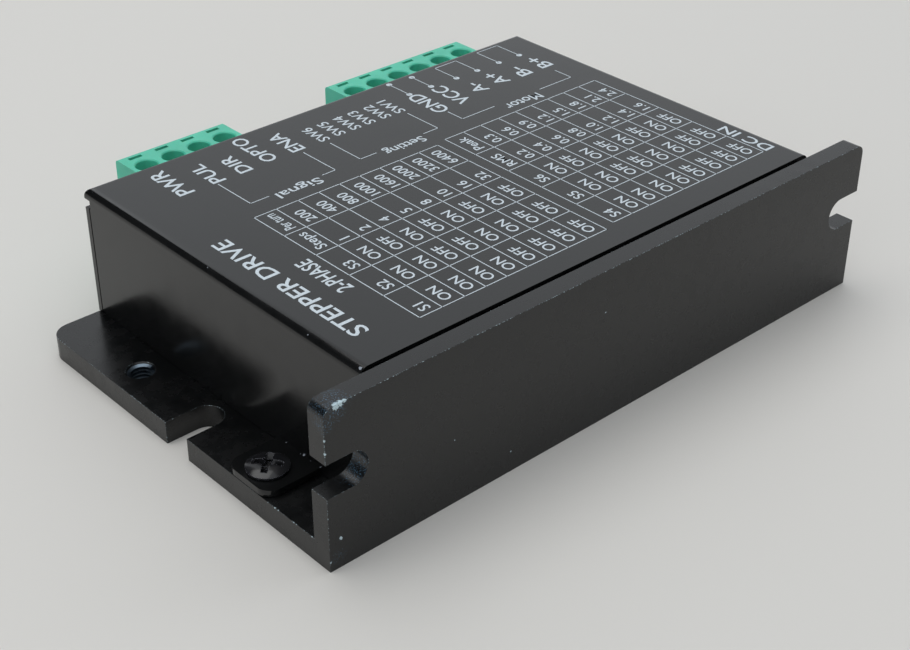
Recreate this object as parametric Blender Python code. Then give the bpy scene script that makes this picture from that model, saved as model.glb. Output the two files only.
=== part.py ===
"""Stepper motor driver module, modelled in Blender 4.5.

An aluminium L bracket carries a circuit board on four standoffs. A folded steel cover
closes over the board and is held by one screw at each end. Two pluggable terminal blocks
and a six-way DIP switch face +Y. The origin is the middle of the bracket's underside, X
runs along the bracket, the flange stands at -Y and +Z is up. All sizes are in metres.
"""

import math

import bmesh
import bpy
from mathutils import Matrix, Vector

MM = 0.001
CLEARANCE = 0.1 * MM  # between faces that touch on the real object
PAST = 1.0 * MM  # how far a cutter runs beyond the face it opens

# Bracket
LENGTH = 86.0 * MM
DEPTH = 55.0 * MM
HEIGHT = 20.2 * MM
BASE_THICK = 3.0 * MM
FLANGE_THICK = 2.5 * MM
BASE_CORNER_RADIUS = 2.5 * MM
FLANGE_CORNER_RADIUS = 1.2 * MM
END_X = LENGTH / 2
SIDE_Y = DEPTH / 2
FLANGE_Y = FLANGE_THICK - SIDE_Y  # the flange's inner face

# Mounting slots, open at the bracket's ends
SLOT_WIDTH = 4.2 * MM
BASE_SLOT_DEPTH = 6.2 * MM
FLANGE_SLOT_DEPTH = 5.4 * MM
FLANGE_SLOT_Z = 11.5 * MM

# M3 holes in the bracket's ears
M3_HOLE_RADIUS = 1.55 * MM
SPARE_HOLE = Vector((END_X - 3.7 * MM, 12.8 * MM, 0))
SPARE_HOLE_MOUTH_RADIUS = 1.85 * MM
COVER_SCREW = Vector((END_X - 2.9 * MM, -13.3 * MM, 0))

# Cover, a folded sheet
SHEET = 0.8 * MM
COVER_X = 35.8 * MM  # outer faces of the end walls
COVER_BACK_Y = FLANGE_Y + 0.7 * MM
BEND_RADIUS = 1.1 * MM
WALL_Y = SIDE_Y - SHEET  # inner face of the connector wall
COVER_FOOT_Z = BASE_THICK + CLEARANCE
TAB_WIDTH = 7.6 * MM
TAB_CORNER_RADIUS = 1.8 * MM
SEAM = 0.15 * MM
WINDOW_TOP_Z = 17.8 * MM
WINDOW_MARGIN = 0.6 * MM  # beside the plugs

# Pan head screws: head radius and height, shank radius and length
COVER_SCREW_SIZE = (2.45 * MM, 0.8 * MM, 1.4 * MM, 3.8 * MM)
BOARD_SCREW_SIZE = (2.2 * MM, 1.3 * MM, 1.15 * MM, 4.2 * MM)
# Their cross recesses: reach from the axis, width and depth
COVER_SCREW_RECESS = (1.8 * MM, 0.62 * MM, 1.1 * MM)
BOARD_SCREW_RECESS = (1.2 * MM, 0.5 * MM, 0.8 * MM)
RECESS_TAPER = 0.55  # the recess's floor, as a share of its mouth

# Circuit board and what holds it
BOARD_THICK = 1.6 * MM
BOARD_Z = 6.3 * MM  # underside
BOARD_TOP_Z = BOARD_Z + BOARD_THICK
BOARD_X = COVER_X - SHEET - 0.4 * MM
BOARD_Y = (FLANGE_Y + 0.5 * MM, WALL_Y - 0.3 * MM)
STANDOFFS = {
    "near_flange": (-30.5 * MM, -20.5 * MM),
    "far_flange": (30.5 * MM, -20.5 * MM),
    "near_terminal": (-30.5 * MM, 13.5 * MM),
    "far_terminal": (30.5 * MM, 13.5 * MM),
}
STANDOFF_ACROSS_FLATS = 4.5 * MM
STUD_RADIUS = 1.15 * MM
STUD_HOLE_RADIUS = 1.3 * MM
STUD_LENGTH = 2.6 * MM

# Terminal blocks: a header on the board and a plug that pulls off it along +Y
PITCH = 3.96 * MM
PLUG_WAYS = {"4way": 4, "6way": 6}
PLUG_X = {"4way": -17.85 * MM, "6way": 19.85 * MM}
PLUG_END_MARGIN = 0.4 * MM
PLUG_TOP_Z = 17.2 * MM
PLUG_BOTTOM_Z = 6.1 * MM
PLUG_FACE_Y = 36.65 * MM
PLUG_BACK_Y = 27.05 * MM
PLUG_EDGE_RADIUS = 0.4 * MM
PIN_SOCKET = 1.4 * MM  # a square hole
PROBE_SLOT = Vector((1.9, 0.6, 2.0)) * MM
PROBE_SLOT_Y = PLUG_FACE_Y - 1.15 * MM
HEADER_Z = (BOARD_TOP_Z + CLEARANCE, 15.25 * MM)
HEADER_Y = (17.6 * MM, 26.95 * MM)
HEADER_WALL = 0.8 * MM
HEADER_FLOOR = 1.6 * MM
TONGUE_PLAY = 0.3 * MM
CLAMP_Y = 32.8 * MM  # clamp screws' axes
CLAMP_BORE_RADIUS = 1.45 * MM

# Rising clamp: an M2 screw, 0.4 mm a turn, lifts its cage 1.6 mm in four turns
CAGE_TRAVEL = 1.6 * MM
CAGE_SIZE = Vector((2.6, 3.2, 4.4)) * MM
CAGE_FLOOR_Z = 7.5 * MM
CAGE_TOP_WALL = 1.2 * MM
CAGE_SIDE_WALL = 0.35 * MM
CAGE_BOTTOM_WALL = 0.6 * MM
CAGE_ROOM = 0.15 * MM
SCREW_HEAD_RADIUS = 1.25 * MM
SCREW_HEAD_HEIGHT = 1.4 * MM
SCREW_SHANK_RADIUS = 0.9 * MM
SCREW_HOLE_RADIUS = 1.05 * MM

# DIP switch, standing between the two headers with its sliders facing +Y
DIP_WAYS = 6
DIP_PITCH = 2.54 * MM
DIP_X = -0.98 * MM
DIP_SIZE = Vector((16.5, 6.0, 9.5)) * MM
DIP_FACE_Y = 26.6 * MM
DIP_SLOT = Vector((1.3, 1.3, 3.6)) * MM
DIP_SLOT_Z = 11.0 * MM
SLIDER = Vector((1.1, 1.9, 1.8)) * MM
SLIDER_EDGE_RADIUS = 0.25 * MM

# Power lamp behind its hole in the connector wall
LED_RADIUS = 1.5 * MM
LED_RIM_RADIUS = 1.85 * MM
LED_RIM_THICK = 0.8 * MM
LED_LEG = 0.5 * MM
LED_LEG_SPREAD = 1.0 * MM
LED_LEG_BACK = 1.5 * MM  # from the rim to the legs
LED_BACK = Vector((-29.6 * MM, WALL_Y - 4.6 * MM, 12.0 * MM))

# Parts soldered on top of the board: middle (x, y) and size, in millimetres
BOARD_BLOCKS = {
    "controller_chip": ((-1, -3.5), (12, 12, 1.5), "chip"),
    "regulator_chip": ((-25, -6), (6.5, 6.1, 2.3), "chip"),
    "optocoupler_pulse": ((-22, 8), (9.6, 6.4, 3.3), "chip"),
    "optocoupler_direction": ((-11, 8), (9.6, 6.4, 3.3), "chip"),
    "optocoupler_enable": ((0, 8), (9.6, 6.4, 3.3), "chip"),
    "crystal": ((-14, -13), (10.8, 4.5, 3.5), "can"),
    "inductor": ((8, -17), (10, 10, 4.5), "ferrite"),
    "sense_resistor_a": ((12, 4), (6.3, 3.1, 0.6), "chip"),
    "sense_resistor_b": ((21, 4), (6.3, 3.1, 0.6), "chip"),
    "fuse": ((21, -21.5), (6.1, 2.6, 2.6), "chip"),
}
CAPACITORS = {"bulk_capacitor_a": (19, -14), "bulk_capacitor_b": (28.3, -9)}
CAPACITOR_RADIUS = 4.0 * MM
CAPACITOR_HEIGHT = 10.0 * MM

# Power stage under the board, which the pad joins to the bracket
BRIDGE_SIZE = Vector((14, 11, 2.3)) * MM
BRIDGE_Y = -4 * MM
BRIDGE_X = {"bridge_chip_a": -10 * MM, "bridge_chip_b": 10 * MM}
PAD_SIZE = Vector((38, 14, 0.6)) * MM

ROUND = 32  # sides of a large round
SMALL_ROUND = 20
SCREW_ROUND = 24
CLAMP_ROUND = 16
SLOT_STEPS = 12  # round end of a slot
SMOOTH_ANGLE = math.radians(40)


def clear_scene():
    for obj in list(bpy.data.objects):
        bpy.data.objects.remove(obj, do_unlink=True)


def make_material(name, colour, roughness, metallic=0.0):
    material = bpy.data.materials.new(name)
    material.use_nodes = True
    shader = material.node_tree.nodes["Principled BSDF"]
    shader.inputs["Base Color"].default_value = (*colour, 1.0)
    shader.inputs["Roughness"].default_value = roughness
    shader.inputs["Metallic"].default_value = metallic
    material.diffuse_color = (*colour, 1.0)
    return material


def add_object(name, mesh_builder, material, at=(0, 0, 0), parent=None):
    """Links an object whose mesh is drawn around its own origin, and places it in the world."""
    mesh = bpy.data.meshes.new(name)
    bmesh.ops.recalc_face_normals(mesh_builder, faces=mesh_builder.faces)
    mesh_builder.to_mesh(mesh)
    mesh_builder.free()
    mesh.materials.append(material)
    return place_mesh(name, mesh, at, parent)


def place_mesh(name, mesh, at, parent=None):
    mesh.shade_smooth()
    mesh.set_sharp_from_angle(angle=SMOOTH_ANGLE)
    obj = bpy.data.objects.new(name, mesh)
    bpy.context.scene.collection.objects.link(obj)
    obj.location = Vector(at)
    if parent:
        obj.parent = parent
        obj.location -= parent.location
    return obj


def add_boolean(target, name, tool_builder, operation="DIFFERENCE", at=(0, 0, 0)):
    """Joins or cuts the target with a helper shape, which is not part of the object."""
    mesh = bpy.data.meshes.new(name)
    bmesh.ops.recalc_face_normals(tool_builder, faces=tool_builder.faces)
    tool_builder.to_mesh(mesh)
    tool_builder.free()
    tool = bpy.data.objects.new(name, mesh)
    bpy.context.scene.collection.objects.link(tool)
    tool.location = Vector(at)
    tool.hide_render = True
    tool.display_type = "WIRE"
    modifier = target.modifiers.new(name, "BOOLEAN")
    modifier.operation = operation
    modifier.solver = "EXACT"
    modifier.object = tool


def add_box(builder, low, high):
    """A box between two corners."""
    low, high = Vector(low), Vector(high)
    size = high - low
    place = Matrix.Translation((low + high) / 2) @ Matrix.Diagonal((*size, 1))
    bmesh.ops.create_cube(builder, size=1, matrix=place)


def add_cylinder(builder, radius, start, end, sides=ROUND, end_radius=None):
    """A cylinder or cone between two points on its axis."""
    start, end = Vector(start), Vector(end)
    axis = end - start
    turn = Vector((0, 0, 1)).rotation_difference(axis).to_matrix().to_4x4()
    bmesh.ops.create_cone(
        builder,
        cap_ends=True,
        segments=sides,
        radius1=radius,
        radius2=radius if end_radius is None else end_radius,
        depth=axis.length,
        matrix=Matrix.Translation((start + end) / 2) @ turn,
    )


def extrude_outline(builder, points, vector):
    """A prism: the outline's face, swept along a vector. Returns the far end's vertices."""
    face = builder.faces.new([builder.verts.new(point) for point in points])
    grown = bmesh.ops.extrude_face_region(builder, geom=[face])["geom"]
    moved = [item for item in grown if isinstance(item, bmesh.types.BMVert)]
    bmesh.ops.translate(builder, vec=vector, verts=moved)
    return moved


def add_slot(builder, width, length, thick):
    """A slot with one round end: it starts at x = 0 and its round end is at +X."""
    radius = width / 2
    outline = [(-PAST, radius), (-PAST, -radius)]
    for step in range(SLOT_STEPS + 1):
        angle = -math.pi / 2 + math.pi * step / SLOT_STEPS
        outline.append((length - radius + radius * math.cos(angle), radius * math.sin(angle)))
    extrude_outline(builder, [(x, y, -thick / 2) for x, y in outline], (0, 0, thick))


def bevel_edges(builder, chosen, radius, segments):
    bmesh.ops.bevel(
        builder,
        geom=[edge for edge in builder.edges if chosen(edge)],
        offset=radius,
        segments=segments,
        profile=0.5,
        affect="EDGES",
        material=-1,
    )


def runs_along(edge, axis):
    run = edge.verts[1].co - edge.verts[0].co
    return abs(run[axis]) > 0.999 * run.length


def middle(edge):
    return (edge.verts[0].co + edge.verts[1].co) / 2


def ends():
    """The two ends of the bracket: a name and the sign of X."""
    return (("near", -1), ("far", 1))


def at_end(point, sign):
    return Vector((sign * point.x, point.y, point.z))


def make_bracket(material):
    builder = bmesh.new()
    profile = [
        (-SIDE_Y, 0),
        (SIDE_Y, 0),
        (SIDE_Y, BASE_THICK),
        (FLANGE_Y, BASE_THICK),
        (FLANGE_Y, HEIGHT),
        (-SIDE_Y, HEIGHT),
    ]
    extrude_outline(builder, [(-END_X, y, z) for y, z in profile], (LENGTH, 0, 0))
    bevel_edges(
        builder,
        lambda edge: runs_along(edge, 2) and middle(edge).y > SIDE_Y - CLEARANCE,
        BASE_CORNER_RADIUS,
        6,
    )
    bevel_edges(
        builder,
        lambda edge: runs_along(edge, 1) and middle(edge).z > HEIGHT - CLEARANCE,
        FLANGE_CORNER_RADIUS,
        4,
    )
    bracket = add_object("heatsink_bracket", builder, material)
    cut_mounting_slots(bracket)
    drill_bracket(bracket)


def cut_mounting_slots(bracket):
    for end, sign in ends():
        builder = bmesh.new()
        add_slot(builder, SLOT_WIDTH, BASE_SLOT_DEPTH, BASE_THICK + 2 * PAST)
        bmesh.ops.rotate(
            builder, verts=builder.verts, matrix=Matrix.Rotation(math.pi * (sign > 0), 3, "Z")
        )
        add_boolean(
            bracket, f"cut_base_slot_{end}", builder, at=(sign * END_X, 0, BASE_THICK / 2)
        )
        builder = bmesh.new()
        add_slot(builder, SLOT_WIDTH, FLANGE_SLOT_DEPTH, FLANGE_THICK + 2 * PAST)
        turn = Matrix.Rotation(math.pi * (sign > 0), 3, "Z") @ Matrix.Rotation(math.pi / 2, 3, "X")
        bmesh.ops.rotate(builder, verts=builder.verts, matrix=turn)
        middle_y = (FLANGE_Y - SIDE_Y) / 2
        add_boolean(
            bracket,
            f"cut_flange_slot_{end}",
            builder,
            at=(sign * END_X, middle_y, FLANGE_SLOT_Z),
        )


def drill_bracket(bracket):
    builder = bmesh.new()
    top, under = Vector((0, 0, BASE_THICK + PAST)), Vector((0, 0, -PAST))
    for _, sign in ends():
        for hole in (SPARE_HOLE, COVER_SCREW):
            spot = at_end(hole, sign)
            add_cylinder(builder, M3_HOLE_RADIUS, spot + under, spot + top, SMALL_ROUND)
    for x, y in STANDOFFS.values():
        spot = Vector((x, y, 0))
        add_cylinder(builder, STUD_HOLE_RADIUS, spot + under, spot + top, SMALL_ROUND)
    add_boolean(bracket, "drill_bracket", builder)

    builder = bmesh.new()
    mouth = SPARE_HOLE_MOUTH_RADIUS
    for _, sign in ends():
        spot = at_end(SPARE_HOLE, sign)
        add_cylinder(
            builder,
            M3_HOLE_RADIUS - CLEARANCE,
            spot + Vector((0, 0, BASE_THICK - (mouth - M3_HOLE_RADIUS) - CLEARANCE)),
            spot + Vector((0, 0, BASE_THICK + PAST)),
            SMALL_ROUND,
            end_radius=mouth + PAST,
        )
    add_boolean(bracket, "countersink_spare_holes", builder)


def make_cover(material):
    low = Vector((-COVER_X, COVER_BACK_Y, COVER_FOOT_Z))
    high = Vector((COVER_X, SIDE_Y, HEIGHT))

    def is_fold(edge):
        spot = middle(edge)
        on_top = spot.z > high.z - CLEARANCE
        return on_top and (runs_along(edge, 1) or spot.y > WALL_Y)

    builder = bmesh.new()
    add_box(builder, low, high)
    bevel_edges(builder, is_fold, BEND_RADIUS, 4)
    cover = add_object("cover", builder, material)

    for end, sign in ends():
        inner, outer = sorted((sign * (COVER_X - SHEET / 2), sign * END_X))
        tab = bmesh.new()
        add_box(
            tab,
            (inner, COVER_SCREW.y - TAB_WIDTH / 2, COVER_FOOT_Z),
            (outer, COVER_SCREW.y + TAB_WIDTH / 2, COVER_FOOT_Z + SHEET),
        )
        bevel_edges(
            tab,
            lambda edge: runs_along(edge, 2) and abs(middle(edge).x) > COVER_X,
            TAB_CORNER_RADIUS,
            5,
        )
        add_boolean(cover, f"foot_tab_{end}", tab, operation="UNION")

    builder = bmesh.new()
    inside_low = low + Vector((SHEET, -PAST, -PAST))
    add_box(builder, inside_low, high - Vector((SHEET, SHEET, SHEET)))
    add_boolean(cover, "hollow_cover", builder)
    open_cover_corners(cover)
    open_terminal_window(cover)
    drill_cover(cover)


def open_cover_corners(cover):
    builder = bmesh.new()
    for _, sign in ends():
        left, right = sorted((sign * (COVER_X + PAST), sign * (COVER_X - SHEET - CLEARANCE)))
        add_box(
            builder,
            (left, WALL_Y - SEAM, COVER_FOOT_Z - PAST),
            (right, WALL_Y + CLEARANCE / 2, WINDOW_TOP_Z),
        )
    add_boolean(cover, "open_corner_seams", builder)

    builder = bmesh.new()
    for _, sign in ends():
        left, right = sorted((sign * (COVER_X + PAST), sign * (COVER_X - SHEET - 2 * SEAM)))
        add_box(
            builder,
            (left, WALL_Y - 2 * SEAM, WINDOW_TOP_Z - SEAM),
            (right, SIDE_Y + PAST, HEIGHT - BEND_RADIUS - 2 * SEAM),
        )
    add_boolean(cover, "corner_reliefs", builder)


def open_terminal_window(cover):
    builder = bmesh.new()
    window_x = (
        PLUG_X["4way"] - plug_width(PLUG_WAYS["4way"]) / 2 - WINDOW_MARGIN,
        PLUG_X["6way"] + plug_width(PLUG_WAYS["6way"]) / 2 + WINDOW_MARGIN,
    )
    add_box(
        builder,
        (window_x[0], WALL_Y - PAST, COVER_FOOT_Z - PAST),
        (window_x[1], SIDE_Y + PAST, WINDOW_TOP_Z),
    )
    add_boolean(cover, "terminal_window", builder)


def drill_cover(cover):
    builder = bmesh.new()
    add_cylinder(
        builder,
        LED_RADIUS + 0.2 * MM,
        (LED_BACK.x, WALL_Y - PAST, LED_BACK.z),
        (LED_BACK.x, SIDE_Y + PAST, LED_BACK.z),
        SMALL_ROUND,
    )
    for _, sign in ends():
        spot = at_end(COVER_SCREW, sign)
        add_cylinder(
            builder,
            M3_HOLE_RADIUS + CLEARANCE,
            spot + Vector((0, 0, COVER_FOOT_Z - PAST)),
            spot + Vector((0, 0, COVER_FOOT_Z + SHEET + PAST)),
            SMALL_ROUND,
        )
    add_boolean(cover, "cover_holes", builder)


def pan_head_screw(head_radius, head_height, shank_radius, shank_length):
    """A pan head screw: its origin is under the head, on the axis, and it points down."""
    builder = bmesh.new()
    dome = head_height * 0.35
    outline = [
        (0, head_height),
        (head_radius * 0.6, head_height * 0.97),
        (head_radius - dome, head_height * 0.88),
        (head_radius - dome * 0.3, head_height - dome),
        (head_radius, head_height * 0.4),
        (head_radius, 0),
        (shank_radius, 0),
        (shank_radius, -shank_length + shank_radius * 0.4),
        (shank_radius * 0.6, -shank_length),
        (0, -shank_length),
    ]
    spin_outline(builder, outline, SCREW_ROUND)
    return builder


def spin_outline(builder, outline, steps):
    """Turns a profile of (radius, height) about Z."""
    corners = [builder.verts.new((radius, 0, height)) for radius, height in outline]
    edges = [builder.edges.new(pair) for pair in zip(corners, corners[1:])]
    bmesh.ops.spin(
        builder,
        geom=corners + edges,
        cent=(0, 0, 0),
        axis=(0, 0, 1),
        angle=2 * math.pi,
        steps=steps,
        use_merge=True,
    )
    bmesh.ops.remove_doubles(builder, verts=builder.verts, dist=0.001 * MM)


def add_cross_recess(builder, reach, width, top, depth):
    """Two crossed blades that narrow towards the bottom, as one plus-shaped body."""
    half = width / 2
    quarter = [(reach, -half), (reach, half), (half, half)]
    outline = []
    for turn in range(4):
        angle = turn * math.pi / 2
        for x, y in quarter:
            outline.append(
                (
                    x * math.cos(angle) - y * math.sin(angle),
                    x * math.sin(angle) + y * math.cos(angle),
                )
            )
    lowered = extrude_outline(builder, [(x, y, top) for x, y in outline], (0, 0, -depth))
    bmesh.ops.scale(builder, vec=(RECESS_TAPER, RECESS_TAPER, 1), verts=lowered)


def add_pan_head_screw(name, size, recess, seat, material):
    """A screw with its cross recess, seated under its head."""
    head_height = size[1]
    reach, width, depth = recess
    screw = add_object(name, pan_head_screw(*size), material, at=seat)
    builder = bmesh.new()
    add_cross_recess(builder, reach, width, head_height + PAST, PAST + depth)
    add_boolean(screw, f"recess_{name}", builder, at=seat)


def make_cover_screws(material):
    for end, sign in ends():
        seat = at_end(COVER_SCREW, sign)
        seat.z = COVER_FOOT_Z + SHEET + CLEARANCE
        add_pan_head_screw(
            f"cover_screw_{end}", COVER_SCREW_SIZE, COVER_SCREW_RECESS, seat, material
        )


def make_board(material):
    builder = bmesh.new()
    low = (-BOARD_X, BOARD_Y[0], BOARD_Z)
    high = (BOARD_X, BOARD_Y[1], BOARD_TOP_Z)
    add_box(builder, low, high)
    board = add_object("main_board", builder, material)
    builder = bmesh.new()
    for x, y in STANDOFFS.values():
        add_cylinder(
            builder,
            STUD_HOLE_RADIUS,
            (x, y, BOARD_Z - PAST),
            (x, y, BOARD_TOP_Z + PAST),
            SMALL_ROUND,
        )
    add_boolean(board, "drill_board", builder)


def make_standoffs(brass, steel):
    bottom = BASE_THICK + CLEARANCE
    height = BOARD_Z - CLEARANCE - bottom
    hex_radius = STANDOFF_ACROSS_FLATS / 2 / math.cos(math.pi / 6)
    for name, (x, y) in STANDOFFS.items():
        builder = bmesh.new()
        add_cylinder(builder, hex_radius, (0, 0, 0), (0, 0, height), 6)
        standoff = add_object(f"board_standoff_{name}", builder, brass, at=(x, y, bottom))
        builder = bmesh.new()
        add_cylinder(builder, STUD_RADIUS, (0, 0, -STUD_LENGTH), (0, 0, height / 2), SMALL_ROUND)
        add_boolean(
            standoff, f"stud_{name}", builder, operation="UNION", at=(x, y, bottom)
        )
        builder = bmesh.new()
        add_cylinder(
            builder, STUD_HOLE_RADIUS, (0, 0, height * 0.1), (0, 0, height + PAST), SMALL_ROUND
        )
        add_boolean(standoff, f"tap_{name}", builder, at=(x, y, bottom))

        seat = Vector((x, y, BOARD_TOP_Z + CLEARANCE))
        add_pan_head_screw(
            f"board_screw_{name}", BOARD_SCREW_SIZE, BOARD_SCREW_RECESS, seat, steel
        )


def plug_width(ways):
    return ways * PITCH + PLUG_END_MARGIN


def way_offsets(ways, pitch=PITCH):
    """Places of the ways along X, from the middle of their block."""
    return [(way - (ways - 1) / 2) * pitch for way in range(ways)]


def make_header(kind, material):
    half = plug_width(PLUG_WAYS[kind]) / 2
    x = PLUG_X[kind]
    builder = bmesh.new()
    add_box(builder, (-half, HEADER_Y[0], HEADER_Z[0]), (half, HEADER_Y[1], HEADER_Z[1]))
    header = add_object(f"header_{kind}", builder, material, at=(x, 0, 0))
    builder = bmesh.new()
    add_box(
        builder,
        (-half + HEADER_WALL, HEADER_Y[0] + HEADER_FLOOR, HEADER_Z[0] + HEADER_WALL),
        (half - HEADER_WALL, HEADER_Y[1] + PAST, HEADER_Z[1] - HEADER_WALL),
    )
    add_boolean(header, f"hollow_header_{kind}", builder, at=(x, 0, 0))


def make_plug(kind, material):
    """The plug's housing, with a clamp chamber, a wire entry and a screw bore for each way."""
    ways = PLUG_WAYS[kind]
    half = plug_width(ways) / 2
    origin = Vector((PLUG_X[kind], CLAMP_Y, 0))
    inset = HEADER_WALL + TONGUE_PLAY
    tongue_z = (HEADER_Z[0] + inset, HEADER_Z[1] - inset)
    tongue_back = HEADER_Y[0] + HEADER_FLOOR + TONGUE_PLAY

    builder = bmesh.new()
    add_box(
        builder,
        (-half, PLUG_BACK_Y - CLAMP_Y, PLUG_BOTTOM_Z),
        (half, PLUG_FACE_Y - CLAMP_Y, PLUG_TOP_Z),
    )
    bevel_edges(
        builder,
        lambda edge: runs_along(edge, 0) and middle(edge).y > 0,
        PLUG_EDGE_RADIUS,
        2,
    )
    plug = add_object(f"plug_{kind}", builder, material, at=origin)

    builder = bmesh.new()
    add_box(
        builder,
        (-half + inset, tongue_back - CLAMP_Y, tongue_z[0]),
        (half - inset, PLUG_BACK_Y - CLAMP_Y + PAST, tongue_z[1]),
    )
    add_boolean(plug, f"tongue_{kind}", builder, operation="UNION", at=origin)

    room = CAGE_SIZE / 2 + Vector((CAGE_ROOM, CAGE_ROOM, 0))
    chamber_z = (CAGE_FLOOR_Z - CLEARANCE, CAGE_FLOOR_Z + CAGE_SIZE.z + CAGE_TRAVEL + CLEARANCE)
    pin_z = (tongue_z[0] + tongue_z[1]) / 2
    pin_half = PIN_SOCKET / 2
    entry_top = CAGE_FLOOR_Z + CAGE_SIZE.z - CAGE_BOTTOM_WALL
    probe = PROBE_SLOT / 2
    probe_y = PROBE_SLOT_Y - CLAMP_Y
    cuts = {
        "chamber": ((-room.x, -room.y, chamber_z[0]), (room.x, room.y, chamber_z[1])),
        "wire_entry": (
            (-room.x + CLEARANCE, 0, CAGE_FLOOR_Z + CAGE_BOTTOM_WALL),
            (room.x - CLEARANCE, PLUG_FACE_Y - CLAMP_Y + PAST, entry_top),
        ),
        "pin_socket": (
            (-pin_half, tongue_back - CLAMP_Y - PAST, pin_z - pin_half),
            (pin_half, 0, pin_z + pin_half),
        ),
        "probe_slot": (
            (-probe.x, probe_y - probe.y, PLUG_TOP_Z - PROBE_SLOT.z),
            (probe.x, probe_y + probe.y, PLUG_TOP_Z + PAST),
        ),
    }
    for name, (low, high) in cuts.items():
        builder = bmesh.new()
        for offset in way_offsets(ways):
            shift = Vector((offset, 0, 0))
            add_box(builder, Vector(low) + shift, Vector(high) + shift)
        add_boolean(plug, f"{name}_{kind}", builder, at=origin)
    builder = bmesh.new()
    for offset in way_offsets(ways):
        add_cylinder(
            builder,
            CLAMP_BORE_RADIUS,
            (offset, 0, chamber_z[1] - CLEARANCE),
            (offset, 0, PLUG_TOP_Z + PAST),
            SMALL_ROUND,
        )
    add_boolean(plug, f"screw_bore_{kind}", builder, at=origin)
    return plug


def clamp_screw_mesh(material):
    """A slotted clamp screw: its origin is under the head, on its axis."""
    shank = CAGE_TRAVEL + CAGE_TOP_WALL
    outline = [
        (0, SCREW_HEAD_HEIGHT),
        (SCREW_HEAD_RADIUS - 0.15 * MM, SCREW_HEAD_HEIGHT),
        (SCREW_HEAD_RADIUS, SCREW_HEAD_HEIGHT - 0.15 * MM),
        (SCREW_HEAD_RADIUS, 0),
        (SCREW_SHANK_RADIUS, 0),
        (SCREW_SHANK_RADIUS, -shank),
        (0, -shank),
    ]
    builder = bmesh.new()
    spin_outline(builder, outline, CLAMP_ROUND)
    mesh = bpy.data.meshes.new("clamp_screw")
    bmesh.ops.recalc_face_normals(builder, faces=builder.faces)
    builder.to_mesh(mesh)
    builder.free()
    mesh.materials.append(material)
    return mesh


def add_clamp_cage(name, material, at, parent):
    """A square ring that the wire passes through along Y, tapped for the screw on top."""
    half = CAGE_SIZE / 2
    builder = bmesh.new()
    add_box(builder, (-half.x, -half.y, 0), (half.x, half.y, CAGE_SIZE.z))
    cage = add_object(name, builder, material, at=at, parent=parent)
    builder = bmesh.new()
    add_box(
        builder,
        (-half.x + CAGE_SIDE_WALL, -half.y - PAST, CAGE_BOTTOM_WALL),
        (half.x - CAGE_SIDE_WALL, half.y + PAST, CAGE_SIZE.z - CAGE_TOP_WALL),
    )
    add_boolean(cage, f"wire_window_{name}", builder, at=at)
    builder = bmesh.new()
    middle_z = CAGE_SIZE.z - CAGE_TOP_WALL - CLEARANCE
    add_cylinder(
        builder,
        SCREW_HOLE_RADIUS,
        (0, 0, middle_z),
        (0, 0, CAGE_SIZE.z + PAST),
        CLAMP_ROUND,
    )
    add_boolean(cage, f"tapped_hole_{name}", builder, at=at)


def make_clamps(kind, plug, screw_mesh, zinc):
    under_head = CAGE_FLOOR_Z + CAGE_SIZE.z + CAGE_TRAVEL + 2 * CLEARANCE
    for number, offset in enumerate(way_offsets(PLUG_WAYS[kind]), start=1):
        x = PLUG_X[kind] + offset
        name = f"{kind}_{number}"
        place_mesh(f"clamp_screw_{name}", screw_mesh, (x, CLAMP_Y, under_head), plug)
        add_clamp_cage(f"clamp_cage_{name}", zinc, (x, CLAMP_Y, CAGE_FLOOR_Z), plug)


def make_dip_switch(housing_material, slider_material):
    half = DIP_SIZE / 2
    z = BOARD_TOP_Z + CLEARANCE
    builder = bmesh.new()
    add_box(
        builder,
        (-half.x, DIP_FACE_Y - DIP_SIZE.y, z),
        (half.x, DIP_FACE_Y, z + DIP_SIZE.z),
    )
    body = add_object("dip_switch_body", builder, housing_material, at=(DIP_X, 0, 0))
    builder = bmesh.new()
    for offset in way_offsets(DIP_WAYS, DIP_PITCH):
        add_box(
            builder,
            (offset - DIP_SLOT.x / 2, DIP_FACE_Y - DIP_SLOT.y, DIP_SLOT_Z),
            (offset + DIP_SLOT.x / 2, DIP_FACE_Y + PAST, DIP_SLOT_Z + DIP_SLOT.z),
        )
    add_boolean(body, "slider_slots", builder, at=(DIP_X, 0, 0))

    back = DIP_FACE_Y - DIP_SLOT.y + CLEARANCE
    for number, offset in enumerate(way_offsets(DIP_WAYS, DIP_PITCH), start=1):
        builder = bmesh.new()
        add_box(builder, (-SLIDER.x / 2, 0, 0), (SLIDER.x / 2, SLIDER.y, SLIDER.z))
        bevel_edges(
            builder,
            lambda edge: runs_along(edge, 0) and middle(edge).y > SLIDER.y / 2,
            SLIDER_EDGE_RADIUS,
            2,
        )
        place = (DIP_X + offset, back, DIP_SLOT_Z + CLEARANCE)
        # Switch 6 is next to the signal plug and switch 1 next to the motor plug.
        add_object(f"dip_slider_{DIP_WAYS + 1 - number}", builder, slider_material, at=place)


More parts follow.
